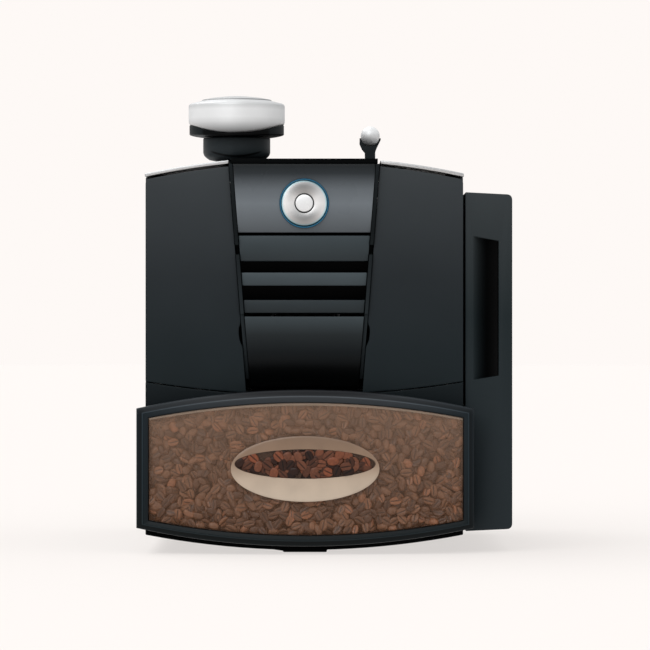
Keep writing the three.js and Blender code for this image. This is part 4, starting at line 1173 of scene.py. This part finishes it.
def badge_oval():
    """Cream oval on the pane, with its lens-shaped opening cut through."""
    x0, x1, _, _, z0, z1 = BADGE
    half_wide = (x1 - x0) / 2
    half_high = (z1 - z0) / 2
    thick = BADGE_THICK

    def place(c, s, r, along):
        x = BADGE_X + half_wide * r * c
        lip = 0.3 * MM * max(0.0, (r - 0.94) / 0.06) if along < thick / 2 else 0.0
        return Vector((x, door_front(x) + BADGE_FRONT + along + lip, (z0 + z1) / 2 + half_high * r * s))

    rings = [(0, thick), (0.5, thick), (1.0, thick), (1.0, 0.35 * MM), (0.985, 0.05 * MM), (0.95, 0.0),
             (0.75, 0.0), (0.5, 0.0), (0.25, 0.0), (0, 0.0)]
    made = spun("badge_oval", rings, 120, place)
    hole = spun("badge_bed", [(0, 0), (1.0, 0), (1.0, 5 * MM), (0, 5 * MM)], 96, bed_place)
    carved(made, hole)
    made.data.shade_smooth()
    made.data.set_sharp_from_angle(angle=math.radians(40.0))
    return placed(made, "door", "cream", "cream_enamel", "medallion")


def badge_beans():
    """Two layers of dark beans in the badge's opening, over a dark bed."""
    dice = random.Random(23)

    def inside(x, z):
        u = (x - BADGE_X) / (BED_HALF_WIDE - 2.6 * MM)
        v = (z - BED_Z) / (BED_HALF_HIGH - 2.4 * MM)
        return u * u + v * v < 1

    def kept(x, z):
        reach = math.hypot((x - BADGE_X) / BED_HALF_WIDE, (z - BED_Z) / BED_HALF_HIGH)
        pull = min(1.0, 0.995 / max(reach, 0.01))
        return BADGE_X + (x - BADGE_X) * pull, BED_Z + (z - BED_Z) * pull

    places = []
    for first_row, step, lag in ((7.2 * MM, 8.4 * MM, 0.0), (9.1 * MM, 6.6 * MM, 0.9 * MM)):
        places += packed(inside, BADGE_X - BED_HALF_WIDE, BADGE_X + BED_HALF_WIDE,
                         BED_Z - first_row, BED_Z + BED_HALF_HIGH, step, dice, lag)
    beans = scattered("badge_beans", places, BADGE_BEAN_SIZE, lambda x: door_front(x) + 0.3 * MM,
                      lambda x: door_front(x) + 2.9 * MM, 0.07, dice, kept)
    placed(beans, "door", "dark_bean", "roasted_bean")
    # The bed takes the dark beans' darkest tone: a painted shade for the gaps between the beans.
    rings = [(0, 4.2 * MM), (0.99, 4.2 * MM), (0.99, 3.4 * MM), (0, 3.4 * MM)]
    placed(spun("badge_bean_bed", rings, 96, bed_place), "door", "dark_bean", "roasted_bean")


door_frame()
door_window()
door_back()
bean_display()
badge_oval()
badge_beans()

# ------------------------------------------------------------------ studio


BACKDROP = (0.991, 0.947, 0.921)


def studio():
    """Pale floor, a soft surround and two wide soft lights."""
    size = 14.0
    corners = [(-size, -size, 0), (size, -size, 0), (size, size, 0), (-size, size, 0)]
    floor = new_object("studio_floor", mesh_of("studio_floor", corners, [(0, 1, 2, 3)]))
    pale = Nodes("pale_floor", 0.9)
    pale.color((0.2407, 0.2306, 0.2237))
    pale.specular(0.0)
    pale.feed(BACKDROP, pale.shader.inputs["Emission Color"])
    pale.shader.inputs["Emission Strength"].default_value = 0.66
    floor.data.materials.append(pale.material)

    world = bpy.data.worlds.new("studio_surround")
    bpy.context.scene.world = world
    world.use_nodes = True
    tree = world.node_tree
    sky = tree.nodes["Background"]
    coordinate = tree.nodes.new("ShaderNodeTexCoord")
    parts = tree.nodes.new("ShaderNodeSeparateXYZ")
    tree.links.new(coordinate.outputs["Generated"], parts.inputs["Vector"])
    ramp = tree.nodes.new("ShaderNodeValToRGB")
    shift = tree.nodes.new("ShaderNodeMapRange")
    shift.inputs["From Min"].default_value = -1.0
    tree.links.new(parts.outputs["Z"], shift.inputs["Value"])
    tree.links.new(shift.outputs["Result"], ramp.inputs["Fac"])
    for element, (position, level) in zip(ramp.color_ramp.elements, ((0.45, 0.35), (0.75, 1.0))):
        element.position = position
        element.color = (level, level, level, 1.0)
    seen = tree.nodes.new("ShaderNodeLightPath")
    pick = tree.nodes.new("ShaderNodeMix")
    pick.data_type = "RGBA"
    pick.inputs[7].default_value = (*BACKDROP, 1.0)
    tree.links.new(seen.outputs["Is Camera Ray"], pick.inputs[0])
    tree.links.new(ramp.outputs["Color"], pick.inputs[6])
    tree.links.new(pick.outputs[2], sky.inputs["Color"])

    def soft_sun(name, aim, spread, strength):
        data = bpy.data.lights.new(name, "SUN")
        data.angle = math.radians(spread)
        data.energy = strength
        light = bpy.data.objects.new(name, data)
        bpy.context.scene.collection.objects.link(light)
        light.rotation_euler = Vector(aim).to_track_quat("-Z", "Y").to_euler()

    soft_sun("key_light", (0.45, 1.0, -0.95), 50.0, 1.0)
    soft_sun("top_light", (0.45, -0.5, -1.0), 45.0, 1.1)


def camera():
    """Long lens, level with the middle of the machine, straight from the front."""
    distance = 3.2
    eye_height = 187 * MM
    width = 533 * MM
    front_gap = distance + PANEL_Y
    data = bpy.data.cameras.new("camera")
    data.sensor_width = 36.0
    data.lens = data.sensor_width * front_gap / width
    made = bpy.data.objects.new("camera", data)
    bpy.context.scene.collection.objects.link(made)
    made.location = (0.0, -distance, eye_height)
    made.rotation_euler = (math.radians(90.0), 0.0, 0.0)
    bpy.context.scene.camera = made


studio()
camera()
bpy.context.scene.view_settings.view_transform = "Standard"
